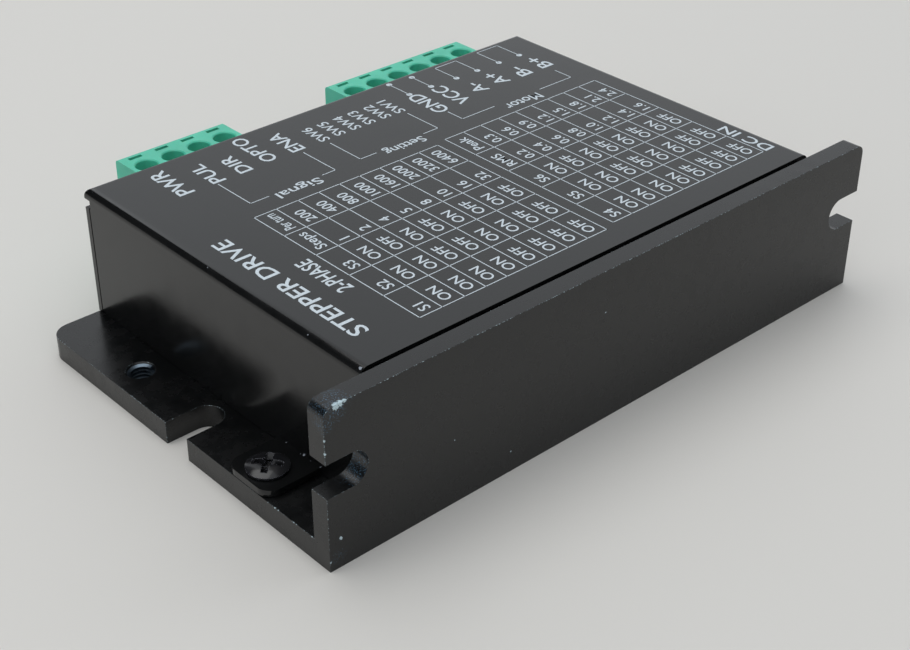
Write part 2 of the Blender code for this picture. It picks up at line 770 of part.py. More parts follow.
def make_led(material):
    """A round lamp lying along +Y behind the connector wall, on two bent legs."""
    outline = [
        (0, 5.2 * MM),
        (LED_RADIUS * 0.5, 5.0 * MM),
        (LED_RADIUS * 0.87, 4.45 * MM),
        (LED_RADIUS, 3.7 * MM),
        (LED_RADIUS, LED_RIM_THICK),
        (LED_RIM_RADIUS, LED_RIM_THICK),
        (LED_RIM_RADIUS, 0),
        (0, 0),
    ]
    builder = bmesh.new()
    spin_outline(builder, outline, SCREW_ROUND)
    bmesh.ops.rotate(
        builder, verts=builder.verts, matrix=Matrix.Rotation(-math.pi / 2, 3, "X")
    )
    led = add_object("power_led", builder, material, at=LED_BACK)
    for side, name in ((-1, "anode"), (1, "cathode")):
        x = LED_BACK.x + side * LED_LEG_SPREAD - LED_LEG / 2
        half = LED_LEG / 2
        back, foot = LED_BACK.y - LED_LEG_BACK, BOARD_TOP_Z + CLEARANCE
        outline = [
            (x, back, foot),
            (x, back + LED_LEG, foot),
            (x, back + LED_LEG, LED_BACK.z - half),
            (x, LED_BACK.y + LED_RIM_THICK / 2, LED_BACK.z - half),
            (x, LED_BACK.y + LED_RIM_THICK / 2, LED_BACK.z + half),
            (x, back, LED_BACK.z + half),
        ]
        builder = bmesh.new()
        extrude_outline(builder, outline, (LED_LEG, 0, 0))
        add_boolean(led, f"led_{name}", builder, operation="UNION")


def make_board_parts(finishes):
    z = BOARD_TOP_Z + CLEARANCE
    for name, (spot, size, finish) in BOARD_BLOCKS.items():
        half = Vector(size) * MM / 2
        builder = bmesh.new()
        add_box(builder, (-half.x, -half.y, 0), (half.x, half.y, 2 * half.z))
        bevel_edges(builder, lambda edge: middle(edge).z > half.z, 0.2 * MM, 1)
        add_object(name, builder, finishes[finish], at=(spot[0] * MM, spot[1] * MM, z))
    for name, spot in CAPACITORS.items():
        radius = CAPACITOR_RADIUS
        outline = [
            (0, CAPACITOR_HEIGHT),
            (radius * 0.85, CAPACITOR_HEIGHT),
            (radius, CAPACITOR_HEIGHT - 0.5 * MM),
            (radius, 1.6 * MM),
            (radius * 0.93, 1.3 * MM),
            (radius, 1.0 * MM),
            (radius, 0),
            (0, 0),
        ]
        builder = bmesh.new()
        spin_outline(builder, outline, ROUND)
        add_object(name, builder, finishes["sleeve"], at=(spot[0] * MM, spot[1] * MM, z))


def make_power_stage(chip, silicone):
    half = PAD_SIZE / 2
    pad_z = BASE_THICK + CLEARANCE
    builder = bmesh.new()
    add_box(builder, (-half.x, -half.y, 0), (half.x, half.y, PAD_SIZE.z))
    add_object("thermal_pad", builder, silicone, at=(0, BRIDGE_Y, pad_z))
    half = BRIDGE_SIZE / 2
    for name, x in BRIDGE_X.items():
        builder = bmesh.new()
        add_box(builder, (-half.x, -half.y, 0), (half.x, half.y, BRIDGE_SIZE.z))
        z = BOARD_Z - CLEARANCE - BRIDGE_SIZE.z
        add_object(name, builder, chip, at=(x, BRIDGE_Y, z))


def main():
    clear_scene()
    black_anodised = make_material("black_anodised", (0.012, 0.012, 0.013), 0.42, 0.4)
    black_paint = make_material("black_paint", (0.014, 0.015, 0.016), 0.28)
    black_steel = make_material("black_steel", (0.03, 0.03, 0.032), 0.3, 0.9)
    steel = make_material("steel", (0.55, 0.55, 0.56), 0.3, 1.0)
    zinc = make_material("zinc", (0.6, 0.61, 0.62), 0.35, 1.0)
    brass = make_material("brass", (0.72, 0.5, 0.2), 0.3, 1.0)
    laminate = make_material("laminate", (0.02, 0.16, 0.06), 0.4)
    silicone = make_material("silicone", (0.35, 0.36, 0.38), 0.7)
    green = make_material("green_nylon", (0.02, 0.55, 0.34), 0.42)
    blue = make_material("blue_nylon", (0.03, 0.08, 0.4), 0.4)
    white = make_material("white_nylon", (0.8, 0.8, 0.78), 0.45)
    lamp = make_material("lamp_green", (0.1, 0.6, 0.12), 0.1)
    finishes = {
        "chip": make_material("chip_epoxy", (0.015, 0.015, 0.016), 0.5),
        "can": steel,
        "ferrite": make_material("ferrite", (0.05, 0.05, 0.05), 0.6),
        "sleeve": make_material("capacitor_sleeve", (0.02, 0.02, 0.03), 0.35),
    }

    make_bracket(black_anodised)
    make_cover(black_paint)
    make_cover_screws(black_steel)
    make_board(laminate)
    make_standoffs(brass, steel)
    screw_mesh = clamp_screw_mesh(steel)
    for kind in PLUG_WAYS:
        make_header(kind, green)
        plug = make_plug(kind, green)
        make_clamps(kind, plug, screw_mesh, zinc)
    make_dip_switch(blue, white)
    make_led(lamp)
    make_board_parts(finishes)
    make_power_stage(finishes["chip"], silicone)


main()
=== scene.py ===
import math
import random

import bmesh
import bpy
from mathutils import Matrix, Vector


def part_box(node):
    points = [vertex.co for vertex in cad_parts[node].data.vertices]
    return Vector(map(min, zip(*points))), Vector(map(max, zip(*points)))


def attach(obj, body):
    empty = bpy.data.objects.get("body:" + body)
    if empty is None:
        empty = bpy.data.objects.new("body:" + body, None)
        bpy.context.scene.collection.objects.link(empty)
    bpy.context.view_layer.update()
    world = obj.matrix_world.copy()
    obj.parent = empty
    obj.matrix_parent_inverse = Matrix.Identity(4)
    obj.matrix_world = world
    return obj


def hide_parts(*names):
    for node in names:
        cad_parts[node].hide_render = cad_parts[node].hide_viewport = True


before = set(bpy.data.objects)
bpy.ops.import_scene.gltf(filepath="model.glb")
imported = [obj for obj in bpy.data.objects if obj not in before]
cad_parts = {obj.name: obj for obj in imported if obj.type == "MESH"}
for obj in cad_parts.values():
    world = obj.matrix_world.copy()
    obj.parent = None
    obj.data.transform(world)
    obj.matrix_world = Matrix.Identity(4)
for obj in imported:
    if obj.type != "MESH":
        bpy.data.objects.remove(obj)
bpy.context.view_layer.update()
unit = 0.001             # pieces are drawn in millimetres where the frame has them


def cadSpan(node):  # a CAD node's lowest and highest corner, in millimetres
    low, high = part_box(node)
    return Vector(low) / unit, Vector(high) / unit


# Camera, floor and light. Lengths are millimetres.
studio = {
    "eye": (-118.685, -129.640, 110.369),
    "target": (-2.0, -1.05, 0.0),
    "roll": 0.155,       # degrees
    "lens": 64.5,
    "floorSize": 1600,
    "floorColour": (0.72, 0.70, 0.665),
    "skyColour": (0.93, 0.965, 1.0),
    "skyStrength": 0.86,
    "darkCards": [(-1250, 0, 780), (250, 1500, -780)],     # low X, high X, Y
    "cardHeight": 1050,
}


def makeStudio():
    scene = bpy.context.scene
    scene.view_settings.view_transform = "Standard"
    camera = bpy.data.objects.new("camera", bpy.data.cameras.new("camera"))
    scene.collection.objects.link(camera)
    scene.camera = camera
    eye, target = Vector(studio["eye"]) * unit, Vector(studio["target"]) * unit
    aim = (target - eye).to_track_quat("-Z", "Y")
    camera.rotation_euler = (aim.to_matrix() @ Matrix.Rotation(
        math.radians(studio["roll"]), 3, "Z")).to_euler()
    camera.location = eye
    camera.data.lens = studio["lens"]
    camera.data.clip_start = 0.005

    half = studio["floorSize"] / 2
    addSheet("floor", [(-half, -half, 0), (half, -half, 0), (half, half, 0), (-half, half, 0)],
             studio["floorColour"], 0.55)
    for number, (left, right, y) in enumerate(studio["darkCards"]):    # keep the folds and edges dark
        card = addSheet(f"darkCard{number}", [(left, y, 0), (right, y, 0),
                                              (right, y, studio["cardHeight"]),
                                              (left, y, studio["cardHeight"])], (0.01, 0.01, 0.012), 0.9)
        card.visible_camera = False

    world = bpy.data.worlds.new("softSky")
    scene.world = world
    world.use_nodes = True
    sky = world.node_tree.nodes["Background"]
    sky.inputs["Color"].default_value = (*studio["skyColour"], 1)
    sky.inputs["Strength"].default_value = studio["skyStrength"]
    addLamp("topLight", (-120, 160, 560), (420, 420), 0.85, (1.0, 0.985, 0.96))


def addSheet(name, corners, colour, roughness):
    mesh = bpy.data.meshes.new(name)
    mesh.from_pydata([Vector(corner) * unit for corner in corners], [], [(0, 1, 2, 3)])
    sheet = bpy.data.objects.new(name, mesh)
    bpy.context.scene.collection.objects.link(sheet)
    mesh.materials.append(startFinish(name + "Finish", colour, roughness)[0])
    return sheet


def addLamp(name, place, size, power, colour):
    lamp = bpy.data.lights.new(name, "AREA")
    lamp.shape = "RECTANGLE"
    lamp.size, lamp.size_y = size[0] * unit, size[1] * unit
    lamp.energy = power
    lamp.color = colour
    light = bpy.data.objects.new(name, lamp)
    light.location = Vector(place) * unit
    light.rotation_euler = (-light.location).to_track_quat("-Z", "Y").to_euler()
    bpy.context.scene.collection.objects.link(light)


# Helpers for finishes

def startFinish(name, colour, roughness, metallic=0.0, more=None):
    material = bpy.data.materials.new(name)
    material.use_nodes = True
    shader = material.node_tree.nodes["Principled BSDF"]
    values = {"Base Color": (*colour, 1), "Roughness": roughness, "Metallic": metallic}
    for socket, value in {**values, **(more or {})}.items():
        shader.inputs[socket].default_value = value
    return material, material.node_tree, shader


def noiseMap(tree, size, detail=3.0, rough=0.5, stretch=(1, 1, 1)):  # size: millimetres a feature
    place = tree.nodes.new("ShaderNodeMapping")
    place.inputs["Scale"].default_value = stretch
    coords = tree.nodes.new("ShaderNodeTexCoord")
    tree.links.new(coords.outputs["Object"], place.inputs["Vector"])
    noise = tree.nodes.new("ShaderNodeTexNoise")
    noise.inputs["Scale"].default_value = 1 / (size * unit)
    noise.inputs["Detail"].default_value = detail
    noise.inputs["Roughness"].default_value = rough
    tree.links.new(place.outputs["Vector"], noise.inputs["Vector"])
    return noise.outputs["Fac"]


def remap(tree, value, low, high, toLow=0.0, toHigh=1.0):
    node = tree.nodes.new("ShaderNodeMapRange")
    for socket, number in (("From Min", low), ("From Max", high),
                           ("To Min", toLow), ("To Max", toHigh)):
        node.inputs[socket].default_value = number
    tree.links.new(value, node.inputs["Value"])
    return node.outputs["Result"]


def cloudMap(tree, size, detail, toLow=0.0, toHigh=1.0):  # soft noise spread over its whole range
    return remap(tree, noiseMap(tree, size, detail), 0.3, 0.7, toLow, toHigh)


def varyRoughness(tree, shader, size, detail, low, high):
    tree.links.new(cloudMap(tree, size, detail, low, high), shader.inputs["Roughness"])


def combine(tree, operation, first, second):
    node = tree.nodes.new("ShaderNodeMath")
    node.operation = operation
    for socket, value in zip(node.inputs, (first, second)):
        if isinstance(value, bpy.types.NodeSocket):
            tree.links.new(value, socket)
        else:
            socket.default_value = value
    return node.outputs["Value"]


def tint(tree, factor, first, second):  # a colour between two, each a socket or a colour
    node = tree.nodes.new("ShaderNodeMix")
    node.data_type = "RGBA"
    tree.links.new(factor, node.inputs["Factor"])
    for socket, colour in ((node.inputs[6], first), (node.inputs[7], second)):
        if isinstance(colour, bpy.types.NodeSocket):
            tree.links.new(colour, socket)
        else:
            socket.default_value = (*colour, 1)
    return node.outputs[2]


def edgeMask(tree):  # 1 on the faces that softenEdges makes
    node = tree.nodes.new("ShaderNodeAttribute")
    node.attribute_name = "edge"
    return node.outputs["Fac"]


def addBump(tree, shader, height, depth, strength=1.0):  # depth in millimetres
    node = tree.nodes.new("ShaderNodeBump")
    node.inputs["Strength"].default_value = strength
    node.inputs["Distance"].default_value = depth * unit
    tree.links.new(height, node.inputs["Height"])
    before = shader.inputs["Normal"].links
    if before:
        tree.links.new(before[0].from_socket, node.inputs["Normal"])
    tree.links.new(node.outputs["Normal"], shader.inputs["Normal"])


def partWay(tree, axis, low, high):  # 0 to 1 along an axis, between two places in millimetres
    coords = tree.nodes.new("ShaderNodeTexCoord")
    split = tree.nodes.new("ShaderNodeSeparateXYZ")
    tree.links.new(coords.outputs["Object"], split.inputs["Vector"])
    return remap(tree, split.outputs[axis], low * unit, high * unit)


def spotMask(tree, centre, radius, squash=(1, 1, 1), ragged=0.5):  # a ragged spot round a point
    coords = tree.nodes.new("ShaderNodeTexCoord")
    place = tree.nodes.new("ShaderNodeMapping")
    place.inputs["Location"].default_value = [
        -value * unit * scale for value, scale in zip(centre, squash)]
    place.inputs["Scale"].default_value = squash
    tree.links.new(coords.outputs["Object"], place.inputs["Vector"])
    reach = tree.nodes.new("ShaderNodeVectorMath")
    reach.operation = "LENGTH"
    tree.links.new(place.outputs["Vector"], reach.inputs[0])
    away = combine(tree, "DIVIDE", reach.outputs["Value"], radius * unit)
    wobble = remap(tree, noiseMap(tree, 0.28, 5, 0.65), 0.3, 0.7, -ragged, ragged)
    return remap(tree, combine(tree, "ADD", away, wobble), 1.0, 0.75)


def addMarks(tree, mask, marks, corner, squash=(1, 1, 1), ragged=0.45):  # lays spots over a mask
    for x, y, z, radius, strength in marks:
        spot = spotMask(tree, corner + Vector((x, y, z)), radius, squash, ragged)
        mask = combine(tree, "MAXIMUM", mask, combine(tree, "MULTIPLY", spot, strength))
    return mask


finishLook = {
    "bracket": {"colour": (0.0026, 0.0029, 0.0031), "roughness": 0.25, "bare": (0.50, 0.64, 0.70),
                "haze": (0.07, 0.15, 0.23), "smudge": (0.004, 0.004, 0.005)},
    "thread": {"colour": (0.13, 0.17, 0.21)},
    "cover": {"colour": (0.0045, 0.0048, 0.005), "roughness": 0.19, "bare": (0.42, 0.46, 0.52)},
    "ink": {"colour": (0.66, 0.74, 0.80), "roughness": 0.5},
    "plug": {"colour": (0.085, 0.60, 0.415), "roughness": 0.42},
    # The black screw's bare colour is a painted highlight: pale rim and recess edges standing in for glints,
    # on a finish with no metallic.
    "blackScrew": {"colour": (0.012, 0.012, 0.014), "bare": (0.62, 0.63, 0.74)},
}

# Marks, as (x, y, z, radius, strength) in millimetres from the bracket's near bottom corner.
# Chips show bare metal, except the cover's specks along the tab bend, which are a painted highlight; scuffs
# are a dust of fine blue specks, the notch's inside the slot only.
bracketChips = [
    (1.5, 0, 3.75, 0.24, 1.0), (39.5, 0, 14.8, 0.12, 0.7), (25.3, 0, 2.75, 0.11, 0.6),
    (17.0, 0, 8.4, 0.10, 0.5), (1.6, 0, 20.0, 0.46, 1.0), (2.15, 0, 20.15, 0.44, 1.0),
    (2.7, 0, 20.25, 0.3, 0.9), (0, 0, 16.6, 0.17, 0.9), (0, 0, 15.0, 0.2, 1.0), (0.1, 0, 1.3, 0.12, 0.5),
    (0, 2.9, 3, 0.13, 0.8), (0, 5.5, 3, 0.07, 0.6), (0, 5.95, 3, 0.12, 0.9), (0, 8.6, 3, 0.10, 0.8),
    (0, 9.15, 3, 0.16, 1.0), (0, 10.4, 3, 0.08, 0.7),
]
bracketScuffs = [(0.9, 0, 19.4, 1.5, 0.8), (0.2, 0, 18.0, 0.9, 0.7), (1.2, 0, 1.6, 1.0, 0.35),
                 (2.2, 0, 20.2, 1.4, 1.0)]
notchScuff = {"at": (4.6, 1.0, 10.6), "radius": 1.9}
flangeSmudge = {"at": (5.0, 0, 4.8), "radius": 1.7}
# The first five marks, along the tab bend, are a painted highlight standing in for the bend's reflection; the
# rest are paint chips.
coverChipsAndBendHighlight = [
    (7.1, 10.5, 3.95, 0.10, 0.7), (7.05, 12.1, 3.95, 0.06, 0.6), (7.1, 13.4, 3.95, 0.14, 0.9),
    (7.0, 13.8, 3.95, 0.07, 0.7), (7.1, 16.5, 3.95, 0.09, 0.6),
    (7.6, 30.0, 20.0, 0.09, 0.8), (7.5, 12.0, 19.9, 0.1, 0.7), (7.6, 3.6, 20.0, 0.22, 0.8),
    (7.5, 53.6, 20.0, 0.16, 0.8),
]


def bracketFinish():
    look = finishLook["bracket"]
    material, tree, shader = startFinish(
        "bracketFinish", look["colour"], look["roughness"], 0.0, {"IOR": 1.5})
    low, high = cadSpan("heatsink_bracket")
    nicks = remap(tree, noiseMap(tree, 0.2, 4, 0.7), 0.53, 0.64)
    patches = remap(tree, noiseMap(tree, 4.0, 2), 0.40, 0.60)
    outerTop = combine(tree, "MULTIPLY", partWay(tree, "Z", high.z - 0.9, high.z - 0.5),
                       partWay(tree, "Y", low.y + 1.0, low.y + 0.6))
    patches = combine(tree, "MAXIMUM", patches, combine(tree, "MULTIPLY", outerTop, 0.85))
    worn = combine(tree, "MULTIPLY", edgeMask(tree), combine(tree, "MULTIPLY", nicks, patches))
    worn = addMarks(tree, worn, bracketChips, low)
    dust = remap(tree, noiseMap(tree, 0.13, 2, 0.6), 0.54, 0.70)
    notch = spotMask(tree, low + Vector(notchScuff["at"]), notchScuff["radius"], (1, 0.8, 1))
    haze = combine(tree, "MULTIPLY", notch, partWay(tree, "Y", low.y + 0.03, low.y + 0.12))
    haze = addMarks(tree, haze, bracketScuffs, low, (1, 0.5, 1), 0.6)
    haze = combine(tree, "MULTIPLY", haze, dust)
    smudge = spotMask(tree, low + Vector(flangeSmudge["at"]), flangeSmudge["radius"], (1, 1, 2.2), 1.0)
    black = tint(tree, cloudMap(tree, 9.0, 4), look["colour"], [value * 1.35 for value in look["colour"]])
    black = tint(tree, combine(tree, "MULTIPLY", smudge, 0.8), black, look["smudge"])
    black = tint(tree, haze, black, look["haze"])
    tree.links.new(tint(tree, worn, black, look["bare"]), shader.inputs["Base Color"])
    tree.links.new(combine(tree, "MULTIPLY", worn, 0.4), shader.inputs["Metallic"])
    varyRoughness(tree, shader, 2.0, 4, look["roughness"] - 0.05, look["roughness"] + 0.07)
    addBump(tree, shader, noiseMap(tree, 0.16, 2), 0.006, 0.55)
    addBump(tree, shader, noiseMap(tree, 0.6, 3, 0.6, (0.12, 1, 1)), 0.008, 0.35)  # drawn lines
    return material


def coverFinish():
    look = finishLook["cover"]
    material, tree, shader = startFinish(
        "coverFinish", look["colour"], look["roughness"], 0.0, {"IOR": 1.5})
    nicks = remap(tree, noiseMap(tree, 0.3, 5, 0.7), 0.56, 0.66)
    patches = remap(tree, noiseMap(tree, 5.0, 2), 0.46, 0.6)
    worn = combine(tree, "MULTIPLY", edgeMask(tree), combine(tree, "MULTIPLY", nicks, patches))
    # Pale specks along the tab bend are a painted highlight; the other marks are chips in the paint.
    worn = addMarks(tree, worn, coverChipsAndBendHighlight, cadSpan("heatsink_bracket")[0])
    black = tint(tree, cloudMap(tree, 14.0, 4), look["colour"], [value * 1.25 for value in look["colour"]])
    tree.links.new(tint(tree, worn, black, look["bare"]), shader.inputs["Base Color"])
    varyRoughness(tree, shader, 3.0, 5, look["roughness"] - 0.03, look["roughness"] + 0.05)
    addBump(tree, shader, noiseMap(tree, 0.35, 2), 0.012, 0.45)   # orange peel
    addBump(tree, shader, noiseMap(tree, 0.09, 1), 0.003, 0.35)
    return material


def inkFinish():
    look = finishLook["ink"]
    material, tree, shader = startFinish("inkFinish", look["colour"], look["roughness"])
    thin = remap(tree, noiseMap(tree, 0.25, 4), 0.3, 0.75)
    pale = tint(tree, thin, look["colour"], [value * 0.82 for value in look["colour"]])
    tree.links.new(pale, shader.inputs["Base Color"])
    addBump(tree, shader, noiseMap(tree, 0.12, 2), 0.004, 0.5)
    return material


def plasticFinish(name, colour, roughness=0.42, depth=0.006, size=0.3, glow=0.0):
    material, tree, shader = startFinish(
        name, colour, roughness, 0.0,
        {"Subsurface Weight": glow, "Subsurface Scale": 0.6 * unit, "IOR": 1.5})
    shade = tint(tree, cloudMap(tree, 4.0, 3), colour, [value * 0.86 for value in colour])
    shade = tint(tree, combine(tree, "MULTIPLY", edgeMask(tree), 0.35), shade,
                 [min(1, value * 1.3 + 0.03) for value in colour])
    tree.links.new(shade, shader.inputs["Base Color"])
    varyRoughness(tree, shader, 1.2, 4, roughness - 0.05, roughness + 0.07)
    addBump(tree, shader, noiseMap(tree, size, 2), depth, 0.5)
    return material


def metalFinish(name, colour, roughness=0.3, bright=None, grain=0.25, stretch=(1, 1, 1),
                metallic=1.0, dull=0.75):
    material, tree, shader = startFinish(name, colour, roughness, metallic)
    shade = tint(tree, cloudMap(tree, 1.4, 4), colour, [value * dull for value in colour])
    # Edges take the bright colour; on the black screw, with no metallic, this is a painted highlight for the
    # glints on its rim and recess.
    if bright:
        nicks = remap(tree, noiseMap(tree, 0.3, 4, 0.7), 0.36, 0.56)
        worn = combine(tree, "MULTIPLY", edgeMask(tree), nicks)
        shade = tint(tree, worn, shade, bright)
    tree.links.new(shade, shader.inputs["Base Color"])
    rough = remap(tree, noiseMap(tree, grain, 4, 0.6, stretch), 0.25, 0.75,
                  roughness - 0.07, roughness + 0.12)
    tree.links.new(rough, shader.inputs["Roughness"])
    addBump(tree, shader, noiseMap(tree, grain, 3, 0.6, stretch), 0.004, 0.5)
    return material


def boardFinish():  # solder mask over glass weave
    base = (0.010, 0.115, 0.045)
    material, tree, shader = startFinish("boardFinish", base, 0.3, 0.0, {"Coat Weight": 0.4})
    coords = tree.nodes.new("ShaderNodeTexCoord")
    weave = tree.nodes.new("ShaderNodeTexWave")
    weave.wave_profile = "TRI"
    weave.inputs["Scale"].default_value = 330
    weave.inputs["Distortion"].default_value = 0.4
    tree.links.new(coords.outputs["Object"], weave.inputs["Vector"])
    cloth = combine(tree, "MULTIPLY", weave.outputs["Fac"], noiseMap(tree, 0.6, 3))
    shade = tint(tree, cloth, base, (0.02, 0.19, 0.075))
    shade = tint(tree, edgeMask(tree), shade, (0.42, 0.36, 0.16))
    tree.links.new(shade, shader.inputs["Base Color"])
    varyRoughness(tree, shader, 2.5, 3, 0.24, 0.36)
    addBump(tree, shader, cloth, 0.008, 0.5)
    return material


def lampFinish():
    material, tree, shader = startFinish(
        "lampFinish", (0.12, 0.52, 0.10), 0.12, 0.0,
        {"Transmission Weight": 0.55, "IOR": 1.52, "Coat Weight": 0.3})
    shade = tint(tree, cloudMap(tree, 1.0, 3), (0.10, 0.50, 0.09), (0.17, 0.62, 0.16))
    tree.links.new(shade, shader.inputs["Base Color"])
    varyRoughness(tree, shader, 0.5, 3, 0.08, 0.2)
    return material


# Helpers for shapes

def addBox(bm, low, high):
    low, high = Vector(low), Vector(high)
    place = Matrix.Translation((low + high) / 2) @ Matrix.Diagonal((*(high - low), 1))
    return bmesh.ops.create_cube(bm, size=1, matrix=place)["verts"]


def addRod(bm, start, end, radius, endRadius=None, sides=48):
    start, end = Vector(start), Vector(end)
    axis = end - start
    turn = Vector((0, 0, 1)).rotation_difference(axis).to_matrix().to_4x4()
    return bmesh.ops.create_cone(
        bm, cap_ends=True, segments=sides, radius1=radius,
        radius2=radius if endRadius is None else endRadius,
        depth=axis.length, matrix=Matrix.Translation((start + end) / 2) @ turn)["verts"]


def sweepOutline(bm, points, vector):  # a prism; gives back its far end's vertices
    face = bm.faces.new([bm.verts.new(point) for point in points])
    grown = bmesh.ops.extrude_face_region(bm, geom=[face])["geom"]
    moved = [item for item in grown if isinstance(item, bmesh.types.BMVert)]
    bmesh.ops.translate(bm, vec=vector, verts=moved)
    return moved


def boxShape(low, high):
    bm = bmesh.new()
    addBox(bm, low, high)
    return bm


def prismShape(points, vector):
    bm = bmesh.new()
    sweepOutline(bm, points, vector)
    return bm


def around(x, y, wide, deep, bottom, top):  # a box's two corners, from its middle in plan
    return (x - wide / 2, y - deep / 2, bottom), (x + wide / 2, y + deep / 2, top)


def turnProfile(bm, outline, at, toward=(0, 0, 1), steps=48):  # outline of (radius, height)
    part = bmesh.new()
    corners = [part.verts.new((radius, 0, height)) for radius, height in outline]
    edges = [part.edges.new(pair) for pair in zip(corners, corners[1:])]
    bmesh.ops.spin(part, geom=corners + edges, cent=(0, 0, 0), axis=(0, 0, 1),
                   angle=2 * math.pi, steps=steps, use_merge=True)
    bmesh.ops.remove_doubles(part, verts=part.verts, dist=0.0005)
    turn = Vector((0, 0, 1)).rotation_difference(Vector(toward)).to_matrix().to_4x4()
    bmesh.ops.transform(part, matrix=Matrix.Translation(at) @ turn, verts=part.verts)
    bmesh.ops.recalc_face_normals(part, faces=part.faces)
    joinShape(bm, part)


def joinShape(bm, part):  # adds one bmesh to another and frees it
    mesh = bpy.data.meshes.new("helper")
    part.to_mesh(mesh)
    part.free()
    bm.from_mesh(mesh)
    bpy.data.meshes.remove(mesh)


def threadRidge(bm, at, root, crest, pitch, turns, steps=28):  # runs down from the point at
    part = bmesh.new()
    half = pitch * 0.42
    outline = [(root, half), (crest, pitch * 0.08), (crest, -pitch * 0.08), (root, -half)]
    face = part.faces.new([part.verts.new((radius, 0, z)) for radius, z in outline])
    total = round(steps * turns)
    bmesh.ops.spin(part, geom=[face], cent=(0, 0, 0), axis=(0, 0, 1),
                   dvec=(0, 0, -pitch / steps), angle=2 * math.pi * turns, steps=total)
    bmesh.ops.remove_doubles(part, verts=part.verts, dist=0.0005)
    bmesh.ops.translate(part, vec=at, verts=part.verts)
    bmesh.ops.recalc_face_normals(part, faces=part.faces)
    joinShape(bm, part)


def slotOutline(width, depth, steps=24):  # open at x = -1, round at x = depth
    radius = width / 2
    points = [(-1, radius), (-1, -radius)]
    for step in range(steps + 1):
        angle = -math.pi / 2 + math.pi * step / steps
        points.append((depth - radius + radius * math.cos(angle), radius * math.sin(angle)))
    return points


def carve(bm, tool, operation="DIFFERENCE"):  # cuts or joins with a shape, which is used up
    helpers = []
    for shape in (bm, tool):
        bmesh.ops.recalc_face_normals(shape, faces=shape.faces)
        mesh = bpy.data.meshes.new("helper")
        shape.to_mesh(mesh)
        helpers.append(bpy.data.objects.new("helper", mesh))
        bpy.context.scene.collection.objects.link(helpers[-1])
    tool.free()
    modifier = helpers[0].modifiers.new("carve", "BOOLEAN")
    modifier.operation = operation
    modifier.solver = "EXACT"
    modifier.object = helpers[1]
    shaped = helpers[0].evaluated_get(bpy.context.evaluated_depsgraph_get())
    bm.clear()
    bm.from_mesh(shaped.to_mesh())
    shaped.to_mesh_clear()
    for helper in helpers:
        mesh = helper.data
        bpy.data.objects.remove(helper)
        bpy.data.meshes.remove(mesh)


def cutBoxes(bm, *spans):  # each span is a (low, high)
    tool = bmesh.new()
    for low, high in spans:
        addBox(tool, low, high)
    carve(bm, tool)


def cutRods(bm, *rods):  # each rod is a (start, end, radius)
    tool = bmesh.new()
    for start, end, radius in rods:
        addRod(tool, start, end, radius)
    carve(bm, tool)


# Rounds the sharp edges, and marks the new faces so that a finish can put wear there; the black screw's
# finish puts a painted highlight there.
def softenEdges(bm, width, segments=2, sharp=28, where=None):
    bmesh.ops.remove_doubles(bm, verts=bm.verts, dist=0.001)
    bmesh.ops.dissolve_limit(bm, angle_limit=math.radians(0.4), verts=bm.verts, edges=bm.edges)
    worn = bm.faces.layers.float.get("edge") or bm.faces.layers.float.new("edge")
    chosen = [
        edge for edge in bm.edges
        if len(edge.link_faces) == 2 and edge.calc_face_angle(0) > math.radians(sharp)
        and (where is None or where(edge))]
    rounded = bmesh.ops.bevel(bm, geom=chosen, offset=width, segments=segments, profile=0.5,
                              affect="EDGES", clamp_overlap=True, material=-1)
    for face in rounded["faces"]:
        face[worn] = 1.0


def runsAlong(edge, axis):
    run = edge.verts[1].co - edge.verts[0].co
    return abs(run[axis]) > 0.999 * run.length


def middleOf(edge):
    return (edge.verts[0].co + edge.verts[1].co) / 2


def roundSome(bm, radius, segments, where):
    bmesh.ops.bevel(bm, geom=[edge for edge in bm.edges if where(edge)], offset=radius,
                    segments=segments, profile=0.5, affect="EDGES", material=-1)


def softBox(bm, low, high, width=0.08, segments=2):  # a box with rounded edges
    part = boxShape(low, high)
    softenEdges(part, width, segments)
    joinShape(bm, part)


def finishPiece(bm, name, body, material, slotName, *nodes, smooth=32):
    bmesh.ops.scale(bm, vec=(unit, unit, unit), verts=bm.verts)
    mesh = bpy.data.meshes.new(name)
    bmesh.ops.recalc_face_normals(bm, faces=bm.faces)
    bm.to_mesh(mesh)
    bm.free()
    mesh.materials.append(material)
    mesh.shade_smooth()
    mesh.set_sharp_from_angle(angle=math.radians(smooth))
    piece = bpy.data.objects.new(name, mesh)
    bpy.context.scene.collection.objects.link(piece)
    weighted = piece.modifiers.new("weighted", "WEIGHTED_NORMAL")
    weighted.keep_sharp = True
    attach(piece, body)
    if nodes:
        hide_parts(*nodes)
    return piece


# Bracket: an extruded L with open slots, tapped holes and softened, chipped edges
bracketShape = {
    "base": 3.0, "flange": 2.5, "corner": 2.5, "flangeCorner": 1.2, "edge": 0.13,
    "slotWidth": 4.2, "baseSlot": 6.2, "flangeSlot": 5.4, "flangeSlotHeight": 11.5,
    "tappedHole": 1.6, "mouth": 1.78, "threadCrest": 1.24, "threadPitch": 0.5,
    "spareHole": (39.3, 12.8), "coverHole": (40.1, -13.3), "studHole": 1.3,
}
standoffs = [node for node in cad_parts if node.startswith("board_standoff_")]
coverScrews = ["cover_screw_near", "cover_screw_far"]


def nodeMiddle(node):
    low, high = cadSpan(node)
    return (low + high) / 2


def holesAt(nodes, bottom, top, radius):  # an upright rod on each node's middle
    spots = [nodeMiddle(node) for node in nodes]
    return [((spot.x, spot.y, bottom), (spot.x, spot.y, top), radius) for spot in spots]


